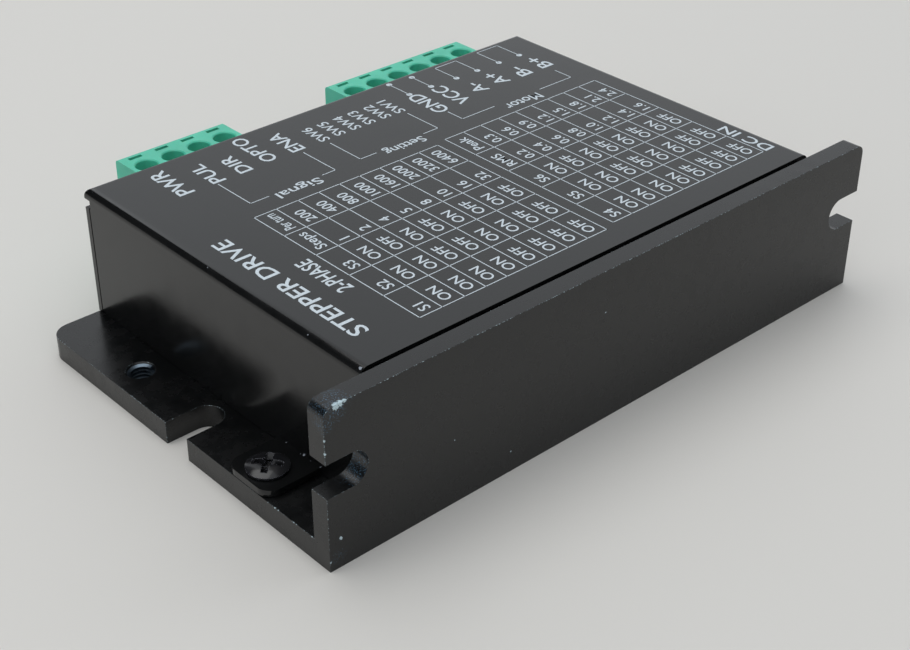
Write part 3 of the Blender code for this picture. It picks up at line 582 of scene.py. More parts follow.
def makeBracket(material, bareThread):
    shape = bracketShape
    low, high = cadSpan("heatsink_bracket")
    innerY = low.y + shape["flange"]
    profile = [(low.y, low.z), (high.y, low.z), (high.y, shape["base"]),
               (innerY, shape["base"]), (innerY, high.z), (low.y, high.z)]
    bm = prismShape([(low.x, y, z) for y, z in profile], (high.x - low.x, 0, 0))
    roundSome(bm, shape["corner"], 10,
              lambda edge: runsAlong(edge, 2) and middleOf(edge).y > high.y - 0.1)
    roundSome(bm, shape["flangeCorner"], 8,
              lambda edge: runsAlong(edge, 1) and middleOf(edge).z > high.z - 0.1)
    for sign in (-1, 1):
        carve(bm, prismShape([(sign * (high.x - x), y, -1) for x, y
                              in slotOutline(shape["slotWidth"], shape["baseSlot"])], (0, 0, 6)))
        carve(bm, prismShape([(sign * (high.x - x), low.y - 1, shape["flangeSlotHeight"] + z)
                              for x, z in slotOutline(shape["slotWidth"], shape["flangeSlot"])],
                             (0, 5, 0)))
    rods = []
    mouths = bmesh.new()   # the countersinks of the spare holes
    top, bore = shape["base"], shape["tappedHole"]
    for sign in (-1, 1):
        for x, y in (shape["spareHole"], shape["coverHole"]):
            rods.append(((sign * x, y, -1), (sign * x, y, 5), bore))
        x, y = shape["spareHole"]
        addRod(mouths, (sign * x, y, top - 0.35), (sign * x, y, top + 0.35),
               bore - 0.05, 2 * shape["mouth"] - bore + 0.05)
    cutRods(bm, *rods, *holesAt(standoffs, -1, 5, shape["studHole"]))
    carve(bm, mouths)
    softenEdges(bm, shape["edge"], 2)
    finishPiece(bm, "bracket", "root", material, "bracket_anodised", "heatsink_bracket")

    bm = bmesh.new()
    for sign in (-1, 1):
        x, y = shape["spareHole"]
        threadRidge(bm, (sign * x, y, top - 0.3), bore + 0.02, shape["threadCrest"],
                    shape["threadPitch"], (top - 0.75) / shape["threadPitch"])
    finishPiece(bm, "spare_hole_threads", "root", bareThread, "bracket_anodised")
    print("bracket made")


# Cover: a folded sheet with slit corners, a terminal window and two foot tabs
coverShape = {
    "sheet": 0.8, "bend": 1.1, "innerBend": 0.35, "edge": 0.07, "inkRoom": 0.03,
    "tabY": -13.3, "tabWidth": 7.6, "tabCorner": 1.8, "tabBend": 0.7, "screwHole": 1.65,
    "wallX": 35.8, "seam": 0.16, "seamTop": 17.8, "relief": (17.65, 18.8), "windowTop": 17.8,
    "windowX": (-26.57, 32.53), "lampHole": 1.7, "lampAt": (-29.6, 12.0),
}


def makeCover(material):
    shape = coverShape
    low, high = cadSpan("cover")
    top = high.z - shape["inkRoom"]
    wall, sheet = shape["wallX"], shape["sheet"]

    def isFold(edge):
        spot = middleOf(edge)
        return spot.z > top - 1 and (runsAlong(edge, 1) or spot.y > high.y - 1)

    bm = boxShape((-wall, low.y, low.z), (wall, high.y, top))
    roundSome(bm, shape["bend"], 8, isFold)
    for sign in (-1, 1):
        inner, outer = sorted((sign * (wall - sheet / 2), sign * high.x))
        half = shape["tabWidth"] / 2
        tab = boxShape((inner, shape["tabY"] - half, low.z), (outer, shape["tabY"] + half, low.z + sheet))
        roundSome(tab, shape["tabCorner"], 8,
                  lambda edge: runsAlong(edge, 2) and abs(middleOf(edge).x) > wall)
        carve(bm, tab, "UNION")
    roundSome(bm, shape["tabBend"], 5,
              lambda edge: runsAlong(edge, 1) and abs(middleOf(edge).x) < wall + 0.05
              and abs(middleOf(edge).x) > wall - 0.05
              and abs(middleOf(edge).z - low.z - sheet) < 0.05)
    inside = boxShape((sheet - wall, low.y - 2, low.z - 2), (wall - sheet, high.y - sheet, top - sheet))
    roundSome(inside, shape["innerBend"], 4, isFold)
    carve(bm, inside)
    seamY = high.y - sheet
    reliefLow, reliefHigh = shape["relief"]
    for sign in (-1, 1):
        left, right = sorted((sign * (wall + 1), sign * (wall - sheet - 0.1)))
        cutBoxes(bm, ((left, seamY - shape["seam"], low.z - 1), (right, seamY + 0.05, shape["seamTop"])))
        left, right = sorted((sign * (wall + 1), sign * (wall - sheet - 0.3)))
        cutBoxes(bm, ((left, seamY - 0.3, reliefLow), (right, high.y + 1, reliefHigh)))
    left, right = shape["windowX"]
    cutBoxes(bm, ((left, seamY - 1, low.z - 1), (right, high.y + 1, shape["windowTop"])))
    lampX, lampZ = shape["lampAt"]
    cutRods(bm, ((lampX, high.y - 2, lampZ), (lampX, high.y + 1, lampZ), shape["lampHole"]),
            *holesAt(coverScrews, low.z - 1, low.z + 2, shape["screwHole"]))
    softenEdges(bm, shape["edge"], 2, 40)
    finishPiece(bm, "cover_shell", "root", material, "cover_paint", "cover", smooth=38)
    print("cover made")


# Legend: printed on the cover. Places are millimetres from the bracket's near flange corner;
# a word is (text, along, across, height, width): its cap height and its length across the cover.
legendLook = {"line": 0.11, "thick": 0.022, "bold": 0.013, "cellHeight": 1.42, "widestCell": 4.4,
              "dot": 0.42}

acrossWords = [
    ("STEPPER DRIVE", 12.6, 8.1, 2.2, 25.3), ("2-PHASE", 16.75, 15.75, 2.0, 8.1),
    ("PWR", 16.65, 45.4, 2.15, 7.2), ("PUL", 21.15, 45.4, 1.9, 5.5), ("DIR", 25.15, 45.4, 1.9, 4.9),
    ("OPTO", 29.25, 45.75, 2.0, 7.75), ("ENA", 33.4, 45.75, 2.0, 5.75),
    ("GND", 54.5, 42.25, 2.2, 6.5), ("VCC", 58.6, 42.4, 2.2, 6.1),
    ("A-", 62.6, 43.4, 2.1, 3.0), ("A+", 66.6, 43.5, 2.1, 3.7),
    ("B-", 70.7, 43.4, 2.1, 3.0), ("B+", 74.7, 43.5, 2.1, 3.7),
    ("DC IN", 77.1, 7.0, 1.7, 8.0),
]
switchWords = [36.6, 39.15, 41.7, 44.1, 46.7, 49.1]         # SW6 to SW1
alongWords = [("Signal", 23.1, 37.0, 1.5, 6.5), ("Setting", 40.0, 37.3, 1.5, 6.25),
              ("Motor", 60.3, 37.0, 1.7, 6.0)]
brackets = [
    [(19.65, 45.0), (19.65, 38.5), (22.3, 38.5)], [(30.4, 38.6), (32.4, 38.6), (32.4, 44.9)],
    [(36.5, 44.75), (36.5, 38.85), (39.0, 38.85)], [(47.0, 39.05), (49.4, 39.05), (49.4, 44.9)],
    [(53.6, 41.75), (53.6, 39.0), (59.2, 39.0)], [(67.5, 38.9), (73.4, 38.9), (73.4, 41.9)],
    [(53.4, 49.25), (53.4, 53.3)], [(57.25, 49.25), (57.25, 53.3)],
    [(61.6, 49.0), (61.6, 53.4), (65.45, 53.4), (65.45, 49.0)],
    [(69.5, 49.0), (69.5, 53.5), (73.4, 53.5), (73.4, 49.0)],
]
dots = [(53.4, 49.25), (53.4, 53.4), (57.25, 49.25), (57.25, 53.2),
        (61.6, 49.0), (65.45, 49.0), (69.5, 49.0), (73.4, 49.0)]


def onOff(number):  # three switch settings for a row, most significant first
    return ["OFF" if number >> place & 1 else "ON" for place in (2, 1, 0)]


stepTable = {
    "rows": [17.9, 21.05, 24.25, 27.3, 30.45, 33.55, 36.7, 39.85, 43.0, 46.1],
    "columns": [6.45, 12.3, 18.05, 23.9, 29.7, 35.4],
    "head": ["S1", "S2", "S3", "Steps", "Per turn"],
    "cells": [onOff(row) + [str(steps), str(200 * steps)]
              for row, steps in enumerate((1, 2, 4, 5, 8, 10, 16, 32))],
}
currentTable = {
    "rows": [47.85, 51.0, 54.0, 57.1, 60.1, 63.0, 66.0, 69.0, 71.9, 75.0],
    "columns": [7.1, 13.0, 18.7, 24.4, 30.3, 36.0],
    "head": ["S4", "S5", "S6", "RMS", "Peak"],
    "cells": [onOff(row) + [f"{0.2 + 0.2 * row:.1f}", f"{0.3 + 0.3 * row:.1f}"]
              for row in range(8)],
}


def textShape(text, height, width, bold, exact=True):  # flat letters from (0, 0), as long as asked
    curve = bpy.data.curves.new("word", "FONT")
    curve.body = text
    curve.size = 2.0
    curve.offset = bold
    curve.resolution_u = 3
    curve.extrude = legendLook["thick"] / 2
    writer = bpy.data.objects.new("word", curve)
    bpy.context.scene.collection.objects.link(writer)
    bpy.context.view_layer.update()
    mesh = bpy.data.meshes.new_from_object(
        writer.evaluated_get(bpy.context.evaluated_depsgraph_get()))
    bpy.data.objects.remove(writer)
    bpy.data.curves.remove(curve)
    word = bmesh.new()
    word.from_mesh(mesh)
    bpy.data.meshes.remove(mesh)
    xs = [vert.co.x for vert in word.verts]
    ys = [vert.co.y for vert in word.verts]
    scaleX = height / max(ys)
    natural = (max(xs) - min(xs)) * scaleX
    if exact or natural > width:
        scaleX *= width / natural
    if any(letter in text for letter in "gpy"):
        ys = [max(ys) * -0.3, max(ys)]
    bmesh.ops.translate(word, vec=(-min(xs), 0, 0), verts=word.verts)
    bmesh.ops.scale(word, vec=(scaleX, height / max(ys), 1), verts=word.verts)
    bmesh.ops.remove_doubles(word, verts=word.verts, dist=0.0005)
    return word


def printWord(bm, origin, right, up, word, centred=False):  # sets letters on a face of the object
    right, up = Vector(right), Vector(up)
    if centred:
        width = max(vert.co.x for vert in word.verts)
        origin = Vector(origin) - right * width / 2
    turn = Matrix((right, up, right.cross(up))).transposed().to_4x4()
    bmesh.ops.transform(word, matrix=Matrix.Translation(origin) @ turn, verts=word.verts)
    joinShape(bm, word)


def makeLegend(material):
    low = cadSpan("heatsink_bracket")[0]
    inkZ = cadSpan("cover")[1].z - coverShape["inkRoom"] + legendLook["thick"] * 0.35
    half, thick = legendLook["line"] / 2, legendLook["thick"] / 2

    def spot(along, across):
        return Vector((low.x + along, low.y + across, inkZ))

    def rule(bm, start, end):
        first, second = spot(*start), spot(*end)
        least = Vector(map(min, first, second)) - Vector((half, half, thick))
        most = Vector(map(max, first, second)) + Vector((half, half, thick))
        addBox(bm, least, most)

    bm = bmesh.new()
    for table in (stepTable, currentTable):
        rows, columns = table["rows"], table["columns"]
        for row in rows:
            rule(bm, (row, columns[0]), (row, columns[-1]))
        for column in columns:
            rule(bm, (rows[0], column), (rows[-1], column))
        for row, cells in enumerate([table["head"]] + table["cells"]):
            for column, text in enumerate(cells):
                word = textShape(text, legendLook["cellHeight"], legendLook["widestCell"],
                                 legendLook["bold"], False)
                printWord(bm, spot(rows[row] + 2.3, columns[column] + 0.75), (0, 1, 0), (-1, 0, 0), word)
    finishPiece(bm, "legend_tables", "root", material, "print_white")

    bm = bmesh.new()
    for text, along, across, height, width in acrossWords:
        word = textShape(text, height, width, legendLook["bold"] * 1.6)
        printWord(bm, spot(along, across), (0, 1, 0), (-1, 0, 0), word)
    for number, along in enumerate(switchWords):
        word = textShape(f"SW{6 - number}", 1.5, 4.4, legendLook["bold"])
        printWord(bm, spot(along + 0.75, 45.75), (0, 1, 0), (-1, 0, 0), word)
    for text, along, across, height, width in alongWords:
        word = textShape(text, height, width, legendLook["bold"])
        printWord(bm, spot(along + width, across + 1.5), (-1, 0, 0), (0, -1, 0), word)
    for route in brackets:
        for start, end in zip(route, route[1:]):
            rule(bm, start, end)
    for along, across in dots:
        middle = spot(along, across)
        lift = Vector((0, 0, thick))
        addRod(bm, middle - lift, middle + lift, legendLook["dot"], sides=20)
    finishPiece(bm, "legend_labels", "root", material, "print_white")
    print("legend made")


# Screws
coverScrewShape = {"head": 2.45, "height": 0.8, "shank": 1.15, "crest": 1.42, "length": 3.8,
                   "pitch": 0.5, "rim": 0.28, "reach": 1.95, "width": 0.85, "deep": 1.0, "cone": 0.85,
                   "turn": 40, "edge": 0.07}
boardScrewShape = {"head": 2.2, "height": 1.3, "shank": 0.95, "crest": 1.14, "length": 4.2,
                   "pitch": 0.45, "rim": 0.5, "reach": 1.25, "width": 0.5, "deep": 0.85, "cone": 0.8,
                   "turn": 20, "edge": 0.04}


def addPanHead(bm, shape, seat):  # a domed head with a cross recess on a threaded shank
    head, height, rim = shape["head"], shape["height"], shape["rim"]
    part = bmesh.new()
    outline = [(head * share, rim + (height - rim) * (1 - share ** 2.6))
               for share in (0, 0.2, 0.38, 0.54, 0.68, 0.8, 0.9, 0.96, 1)]
    outline += [(head, height * 0.07), (head * 0.97, 0), (shape["shank"], 0),
                (shape["shank"], 0.4 - shape["length"]),
                (shape["shank"] * 0.6, -shape["length"]), (0, -shape["length"])]
    turnProfile(part, outline, (0, 0, 0), steps=56)
    tool = bmesh.new()
    reach, half = shape["reach"], shape["width"] / 2
    cross = []
    for quarter in range(4):
        turn = Matrix.Rotation(quarter * math.pi / 2 + math.radians(shape["turn"]), 3, "Z")
        cross += [turn @ Vector(spot) for spot in
                  ((reach, -half, height), (reach, half, height), (half, half, height))]
    lowered = sweepOutline(tool, cross, (0, 0, -shape["deep"]))
    bmesh.ops.scale(tool, vec=(0.55, 0.6, 1), verts=lowered)
    for vert in tool.verts:
        vert.co.z += 0.01 if vert.co.z > height - 0.1 else 0
    carve(part, tool)
    tool = bmesh.new()     # the cone in the middle of the recess
    addRod(tool, (0, 0, height - shape["deep"] - 0.15), (0, 0, height + 0.1), 0.15, shape["cone"], 24)
    carve(part, tool)
    softenEdges(part, shape["edge"], 2, 24)
    bmesh.ops.translate(part, vec=seat, verts=part.verts)
    joinShape(bm, part)
    turns = (shape["length"] - 1.0) / shape["pitch"]
    threadRidge(bm, Vector(seat) + Vector((0, 0, -0.45)), shape["shank"] - 0.03, shape["crest"],
                shape["pitch"], turns, 20)


def makeScrews(black, steel):
    boardScrews = [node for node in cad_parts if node.startswith("board_screw_")]
    for node in coverScrews + boardScrews:
        shape = coverScrewShape if node in coverScrews else boardScrewShape
        low, high = cadSpan(node)
        bm = bmesh.new()
        addPanHead(bm, shape, ((low.x + high.x) / 2, (low.y + high.y) / 2, high.z - shape["height"]))
        metal, slotName = (black, "black_screw") if node in coverScrews else (steel, "steel_screw")
        finishPiece(bm, node + "_fine", "root", metal, slotName, node)
    print("screws made")


# Terminal blocks: headers on the board, and the plugs that pull off them
pitch = 3.96
ways = {"4way": 4, "6way": 6}
plugShape = {
    "bodyBack": 27.05, "front": 0.55, "edge": 0.1, "bore": 1.45,
    "boreMouth": 1.6, "probe": (1.9, 0.6, 2.0), "probeInset": 0.9, "chamber": (2.9, 3.5),
    "chamberZ": (7.4, 13.6), "entry": (2.6, 3.2), "entryHeight": 9.7, "entryFunnel": 0.35,
    "clampY": 32.8, "tongue": (1.1, 9.1, 14.15), "socket": 1.4, "socketZ": (10.2, 12.3), "groove": 0.32,
}
contactShape = {"bar": 1.2, "barZ": (10.3, 10.6), "back": 20.2, "barFront": 34.3, "leafFront": 25.6,
                "leafX": (0.4, 0.6), "leafZ": (10.55, 12.1)}
clampShape = {"head": 1.25, "height": 1.4, "shank": 0.72, "crest": 0.9, "pitch": 0.4,
              "slot": (0.38, 0.6), "cageEdge": 0.07, "wall": 0.35, "top": 1.2, "bottom": 0.6, "hole": 0.98}


def wayPlaces(kind):  # middle X of each way, from -X to +X
    middle = nodeMiddle("plug_" + kind).x
    return [middle + (way - (ways[kind] - 1) / 2) * pitch for way in range(ways[kind])]


def makePlug(kind, green):
    shape = plugShape
    low, high = cadSpan("plug_" + kind)
    clampY, front = shape["clampY"], shape["front"]
    bm = boxShape((low.x, shape["bodyBack"], low.z), high)
    roundSome(bm, front, 5, lambda edge: runsAlong(edge, 0) and middleOf(edge).y > clampY)
    tongue = bmesh.new()
    inset, tongueLow, tongueHigh = shape["tongue"]
    addBox(tongue, (low.x + inset, low.y, tongueLow), (high.x - inset, shape["bodyBack"] + 1, tongueHigh))
    roundSome(tongue, 0.4, 3, lambda edge: middleOf(edge).y < low.y + 0.01)
    carve(bm, tongue, "UNION")

    chamberX, chamberY = shape["chamber"]
    chamberLow, chamberHigh = shape["chamberZ"]
    entryX, entryZ = shape["entry"]
    probeX, probeY, probeDeep = shape["probe"]
    probeAt = high.y - shape["probeInset"] - probeY / 2
    sockets, chambers, entries, probes = [], [], [], []
    bores = bmesh.new()
    funnelTool = bmesh.new()
    entryLow, entryHigh = shape["entryHeight"] - entryZ / 2, shape["entryHeight"] + entryZ / 2
    socketLow, socketHigh = shape["socketZ"]
    socket, far = shape["socket"] / 2, shape["entryFunnel"]
    for x in wayPlaces(kind):
        chambers.append(around(x, clampY, chamberX, chamberY, chamberLow, chamberHigh))
        entries.append(((x - entryX / 2, clampY, entryLow), (x + entryX / 2, high.y + 1, entryHigh)))
        sockets.append(((x - socket, low.y - 1, socketLow), (x + socket, clampY, socketHigh)))
        probes.append(around(x, probeAt, probeX, probeY, high.z - probeDeep, high.z + 1))
        addRod(bores, (x, clampY, chamberHigh - 0.1), (x, clampY, high.z + 1), shape["bore"])
        addRod(funnelTool, (x, clampY, high.z - 0.2), (x, clampY, high.z + 0.2),
               shape["bore"] - 0.05, shape["boreMouth"] + 0.25)
        mouth = addBox(funnelTool, (x - entryX / 2, high.y - 0.5, entryLow),
                       (x + entryX / 2, high.y + 0.5, entryHigh))
        bmesh.ops.scale(funnelTool, vec=(1 + 4 * far / entryX, 1, 1 + 4 * far / entryZ),
                        space=Matrix.Translation((-x, 0, -shape["entryHeight"])),
                        verts=[vert for vert in mouth if vert.co.y > high.y])
    for spans in (sockets, chambers, entries, probes):
        cutBoxes(bm, *spans)
    carve(bm, bores)
    carve(bm, funnelTool)
    notch = bmesh.new()    # a V between neighbouring ways, down the front
    deep = shape["groove"]
    places = wayPlaces(kind)
    for left, right in zip(places, places[1:]):
        x = (left + right) / 2
        sweepOutline(notch, [(x - deep, high.y + 0.01, low.z - 1), (x + deep, high.y + 0.01, low.z - 1),
                             (x, high.y - deep, low.z - 1)], (0, 0, high.z - low.z + 2))
    carve(bm, notch)
    softenEdges(bm, shape["edge"], 2, 30)
    finishPiece(bm, f"plug_{kind}_housing", "plug_" + kind, green, "terminal_green", "plug_" + kind)


def makeClamps(kind, steel, zinc, tin):
    shape = clampShape
    for number, x in enumerate(wayPlaces(kind), start=1):
        name = f"clamp_screw_{kind}_{number}"
        low, high = cadSpan(name)
        head, height, shank = shape["head"], shape["height"], shape["shank"]
        y, seatZ = (low.y + high.y) / 2, high.z - height
        foot = low.z - seatZ
        bm = bmesh.new()
        turnProfile(bm, [(0, height), (head - 0.3, height), (head - 0.1, height - 0.08),
                         (head, height - 0.25), (head, 0.1), (head - 0.1, 0), (shank, 0),
                         (shank, foot + 0.2), (shank - 0.2, foot), (0, foot)], (x, y, seatZ), steps=40)
        wide, deep = shape["slot"]
        turned = boxShape((-head - 1, -wide / 2, -deep), (head + 1, wide / 2, 1))
        bmesh.ops.rotate(turned, verts=turned.verts,
                         matrix=Matrix.Rotation(math.radians(18 + 47 * number), 3, "Z"))
        bmesh.ops.translate(turned, vec=(x, y, high.z), verts=turned.verts)
        carve(bm, turned)
        softenEdges(bm, 0.035, 2, 30)
        threadRidge(bm, (x, y, seatZ - 0.35), shank - 0.03, shape["crest"], shape["pitch"], 5, 16)
        finishPiece(bm, name + "_fine", name, steel, "steel_screw", name)

        name = f"clamp_cage_{kind}_{number}"
        low, high = cadSpan(name)
        wall = shape["wall"]
        bm = boxShape(low, high)
        roundSome(bm, 0.35, 4, lambda edge: runsAlong(edge, 1))
        cutBoxes(bm, ((low.x + wall, low.y - 1, low.z + shape["bottom"]),
                      (high.x - wall, high.y + 1, high.z - shape["top"])))
        cutRods(bm, ((x, y, high.z - shape["top"] - 0.5), (x, y, high.z + 1), shape["hole"]))
        softenEdges(bm, shape["cageEdge"], 2, 30)
        finishPiece(bm, name + "_fine", name, zinc, "clamp_plating", name)

    bm = bmesh.new()       # each way's contact: a bar through the cage and two leaves on the pin
    shape = contactShape
    half, back = shape["bar"] / 2, shape["back"]
    for x in wayPlaces(kind):
        softBox(bm, (x - half, back, shape["barZ"][0]), (x + half, shape["barFront"], shape["barZ"][1]), 0.05)
        for sign in (-1, 1):
            left, right = sorted(sign * leaf for leaf in shape["leafX"])
            softBox(bm, (x + left, back, shape["leafZ"][0]),
                    (x + right, shape["leafFront"], shape["leafZ"][1]), 0.04)
    finishPiece(bm, f"plug_{kind}_contacts", "plug_" + kind, tin, "contact_tin")


headerShape = {"wall": 0.8, "floor": 1.6, "edge": 0.12, "pin": 0.62, "pinBack": 16.3, "pinZ": 11.6,
               "pinFront": 26.0, "pinFoot": 4.9}


def bendPin(bm, left, side, width):  # a flat-sided pin from its outline in Y and Z
    part = prismShape([(left, y, z) for y, z in side], (width, 0, 0))
    softenEdges(part, 0.05, 1, 40)
    joinShape(bm, part)


def makeHeader(kind, green, tin):
    shape = headerShape
    low, high = cadSpan("header_" + kind)
    bm = boxShape(low, high)
    roundSome(bm, 0.5, 4, lambda edge: runsAlong(edge, 0) and middleOf(edge).y < low.y + 0.1)
    wall = shape["wall"]
    cutBoxes(bm, ((low.x + wall, low.y + shape["floor"], low.z + wall),
                  (high.x - wall, high.y + 1, high.z - wall)))
    holes, keys = [], []
    half = shape["pin"] / 2 + 0.03
    for x in wayPlaces(kind):
        holes.append(((x - half, low.y - 1, shape["pinZ"] - half),
                      (x + half, low.y + 3, shape["pinZ"] + half)))
        keys.append(((x - 0.7, low.y + 4, high.z - 0.35), (x + 0.7, high.y + 1, high.z + 1)))
    cutBoxes(bm, *holes)
    cutBoxes(bm, *keys)
    softenEdges(bm, shape["edge"], 2, 30)
    finishPiece(bm, f"header_{kind}_housing", "root", green, "terminal_green", "header_" + kind)

    bm = bmesh.new()
    half = shape["pin"] / 2
    back, front, foot = shape["pinBack"], shape["pinFront"], shape["pinFoot"]
    top = shape["pinZ"] + half
    side = [(back + 0.3, top), (front - 0.4, top), (front, top - half + 0.1), (front, top - half - 0.1),
            (front - 0.4, top - 2 * half), (back + 2 * half, top - 2 * half), (back + 2 * half, foot),
            (back, foot), (back, top - 0.3)]
    for x in wayPlaces(kind):
        bendPin(bm, x - half, side, 2 * half)
    finishPiece(bm, f"header_{kind}_pins", "root", tin, "contact_tin")


def makeTerminals(finishes):
    for kind in ways:
        makeHeader(kind, finishes["plug"], finishes["tin"])
        makePlug(kind, finishes["plug"])
        makeClamps(kind, finishes["steel"], finishes["zinc"], finishes["tin"])
    print("terminal blocks made")


# DIP switch, standing between the headers with its sliders facing +Y
dipShape = {"pitch": 2.54, "slot": (1.3, 1.3, 3.6), "slotZ": 11.0, "edge": 0.12, "ink": 0.02,
            "legRows": (21.9, 24.44), "legFoot": 5.2}


def sliderNodes():
    return sorted(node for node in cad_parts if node.startswith("dip_slider_"))


def makeDipSwitch(housing, slider, ink, tin):
    shape = dipShape
    low, high = cadSpan("dip_switch_body")
    bm = boxShape(low, high)
    roundSome(bm, 0.35, 4, lambda edge: middleOf(edge).y > high.y - 0.05)
    wide, deep, tall = shape["slot"]
    slots, funnels = [], []
    for node in sliderNodes():
        x = nodeMiddle(node).x
        slots.append(((x - wide / 2, high.y - deep, shape["slotZ"]),
                      (x + wide / 2, high.y + 1, shape["slotZ"] + tall)))
        funnels.append(((x - wide / 2 - 0.22, high.y - 0.25, shape["slotZ"] - 0.22),
                        (x + wide / 2 + 0.22, high.y + 1, shape["slotZ"] + tall + 0.22)))
    cutBoxes(bm, *slots)
    cutBoxes(bm, *funnels)
    cutBoxes(bm, ((low.x + 1, low.y - 1, low.z + 1), (high.x - 1, low.y + 0.4, high.z - 1)))
    softenEdges(bm, shape["edge"] / 2, 2, 30)
    finishPiece(bm, "dip_switch_housing", "root", housing, "dip_housing", "dip_switch_body")

    for node in sliderNodes():
        low, high = cadSpan(node)
        bm = boxShape(low, high)
        grip = [((low.x - 1, high.y - 0.14, low.z + step), (high.x + 1, high.y + 1, low.z + step + 0.14))
                for step in (0.45, 0.83, 1.21)]
        roundSome(bm, 0.25, 3, lambda edge: runsAlong(edge, 0) and middleOf(edge).y > high.y - 0.05)
        cutBoxes(bm, *grip)
        softenEdges(bm, 0.05, 2, 30)
        finishPiece(bm, node + "_fine", node, slider, "dip_slider", node)

    bm = bmesh.new()
    low, high = cadSpan("dip_switch_body")
    faceY = high.y + shape["ink"] / 2
    for node in sliderNodes():
        word = textShape(node[-1], 1.15, 0.75, 0.01, False)
        printWord(bm, (nodeMiddle(node).x, faceY, shape["slotZ"] - 1.65), (-1, 0, 0), (0, 0, 1), word, True)
    word = textShape("ON", 1.2, 2.0, 0.01)
    printWord(bm, (high.x - 1.2, faceY, shape["slotZ"] + tall + 0.6), (-1, 0, 0), (0, 0, 1), word)
    finishPiece(bm, "dip_switch_marks", "root", ink, "print_white")

    bm = bmesh.new()
    for node in sliderNodes():
        x = nodeMiddle(node).x
        for y in shape["legRows"]:
            softBox(bm, *around(x, y, 0.5, 0.26, shape["legFoot"], low.z + 0.3), 0.04, 1)
    finishPiece(bm, "dip_switch_legs", "root", tin, "contact_tin")
    print("DIP switch made")


# Power lamp behind its hole in the connector wall
lampShape = {"radius": 1.5, "length": 5.2, "rim": 1.85, "rimThick": 0.8, "leg": 0.5, "legBack": 1.5,
             "spread": 1.0, "foot": 5.2, "z": 12.0}


def makeLamp(lens, tin):
    shape = lampShape
    low, high = cadSpan("power_led")
    x, rimBack = (low.x + high.x) / 2, high.y - shape["length"]
    radius, rim, thick, z = shape["radius"], shape["rim"], shape["rimThick"], shape["z"]
    domeStart = shape["length"] - radius
    dome = [(radius * math.cos(math.radians(angle)), domeStart + radius * math.sin(math.radians(angle)))
            for angle in range(0, 90, 10)]
    bm = bmesh.new()
    turnProfile(bm, [(0, 0), (rim - 0.1, 0), (rim, 0.1), (rim, thick - 0.1), (rim - 0.1, thick),
                     (radius + 0.05, thick), (radius, thick + 0.05)]
                + dome + [(0, shape["length"])], (x, rimBack, z), (0, 1, 0), 48)
    finishPiece(bm, "power_lamp_lens", "root", lens, "lamp_lens", "power_led")
    bm = bmesh.new()
    half, foot = shape["leg"] / 2, shape["foot"]
    back, end = rimBack - shape["legBack"], rimBack + 0.3
    side = [(back, foot), (back + 2 * half, foot), (back + 2 * half, z - half), (end, z - half),
            (end, z + half), (back + 0.3, z + half), (back, z + half - 0.3)]
    for sign in (-1, 1):
        bendPin(bm, x + sign * shape["spread"] - half, side, shape["leg"])
    finishPiece(bm, "power_lamp_legs", "root", tin, "contact_tin")
    print("lamp made")


# Circuit board and the parts on it
boardShape = {"corner": 1.0, "hole": 1.3, "edge": 0.06, "copper": 0.035, "track": 0.44,
              "trackEnd": 11.6, "pad": 0.85}
standoffShape = {"across": 4.5, "gap": 0.1, "bore": 1.12, "stud": 0.9, "studCrest": 1.14, "pitch": 0.45}


def pinPlaces():  # every leg that goes through the board
    places = [(x, headerShape["pinBack"] + headerShape["pin"] / 2) for kind in ways
              for x in wayPlaces(kind)]
    places += [(nodeMiddle(node).x, y) for node in sliderNodes() for y in dipShape["legRows"]]
    low, high = cadSpan("power_led")
    middle = (low.x + high.x) / 2
    back = high.y - lampShape["length"] - lampShape["legBack"] + lampShape["leg"] / 2
    return places + [(middle + side * lampShape["spread"], back) for side in (-1, 1)]


def makeBoard(laminate, copper, solder):
    shape = boardShape
    low, high = cadSpan("main_board")
    bm = boxShape(low, high)
    roundSome(bm, shape["corner"], 6, lambda edge: runsAlong(edge, 2))
    cutRods(bm, *holesAt(standoffs, low.z - 1, high.z + 1, shape["hole"]))
    softenEdges(bm, shape["edge"], 1, 40)
    finishPiece(bm, "circuit_board", "root", laminate, "board_laminate", "main_board")

    bm = bmesh.new()       # copper under the mask: one track from each pin, with a bend
    generator = random.Random(7)
    half, end = shape["track"] / 2, shape["trackEnd"]
    for x, y in pinPlaces()[:-2]:
        turn = generator.choice((-1, 1)) * generator.uniform(0.6, 1.4)
        reach = generator.uniform(2.0, 3.6)
        bend = y - reach - abs(turn)
        outline = [(x - half, y), (x - half, y - reach), (x - half + turn, bend), (x - half + turn, end),
                   (x + half + turn, end), (x + half + turn, bend), (x + half, y - reach), (x + half, y)]
        if bend > end + 0.1:
            sweepOutline(bm, [(px, py, high.z - 0.01) for px, py in outline], (0, 0, shape["copper"]))
    finishPiece(bm, "board_tracks", "root", copper, "board_laminate")

    bm = bmesh.new()       # a ring and a cone of solder for each leg
    pad = shape["pad"]
    for x, y in pinPlaces():
        turnProfile(bm, [(0, 0.02), (pad, 0.02), (pad, -0.05), (0.6, -0.22), (0.42, -0.55),
                         (0.36, -0.8), (0, -0.85)], (x, y, low.z), steps=20)
    for node in standoffs:
        spot = nodeMiddle(node)
        turnProfile(bm, [(1.45, 0), (2.9, 0), (2.9, 0.05), (1.45, 0.05), (1.45, 0)],
                    (spot.x, spot.y, high.z), steps=32)
    finishPiece(bm, "solder_joints", "root", solder, "contact_tin")

    print("board made")


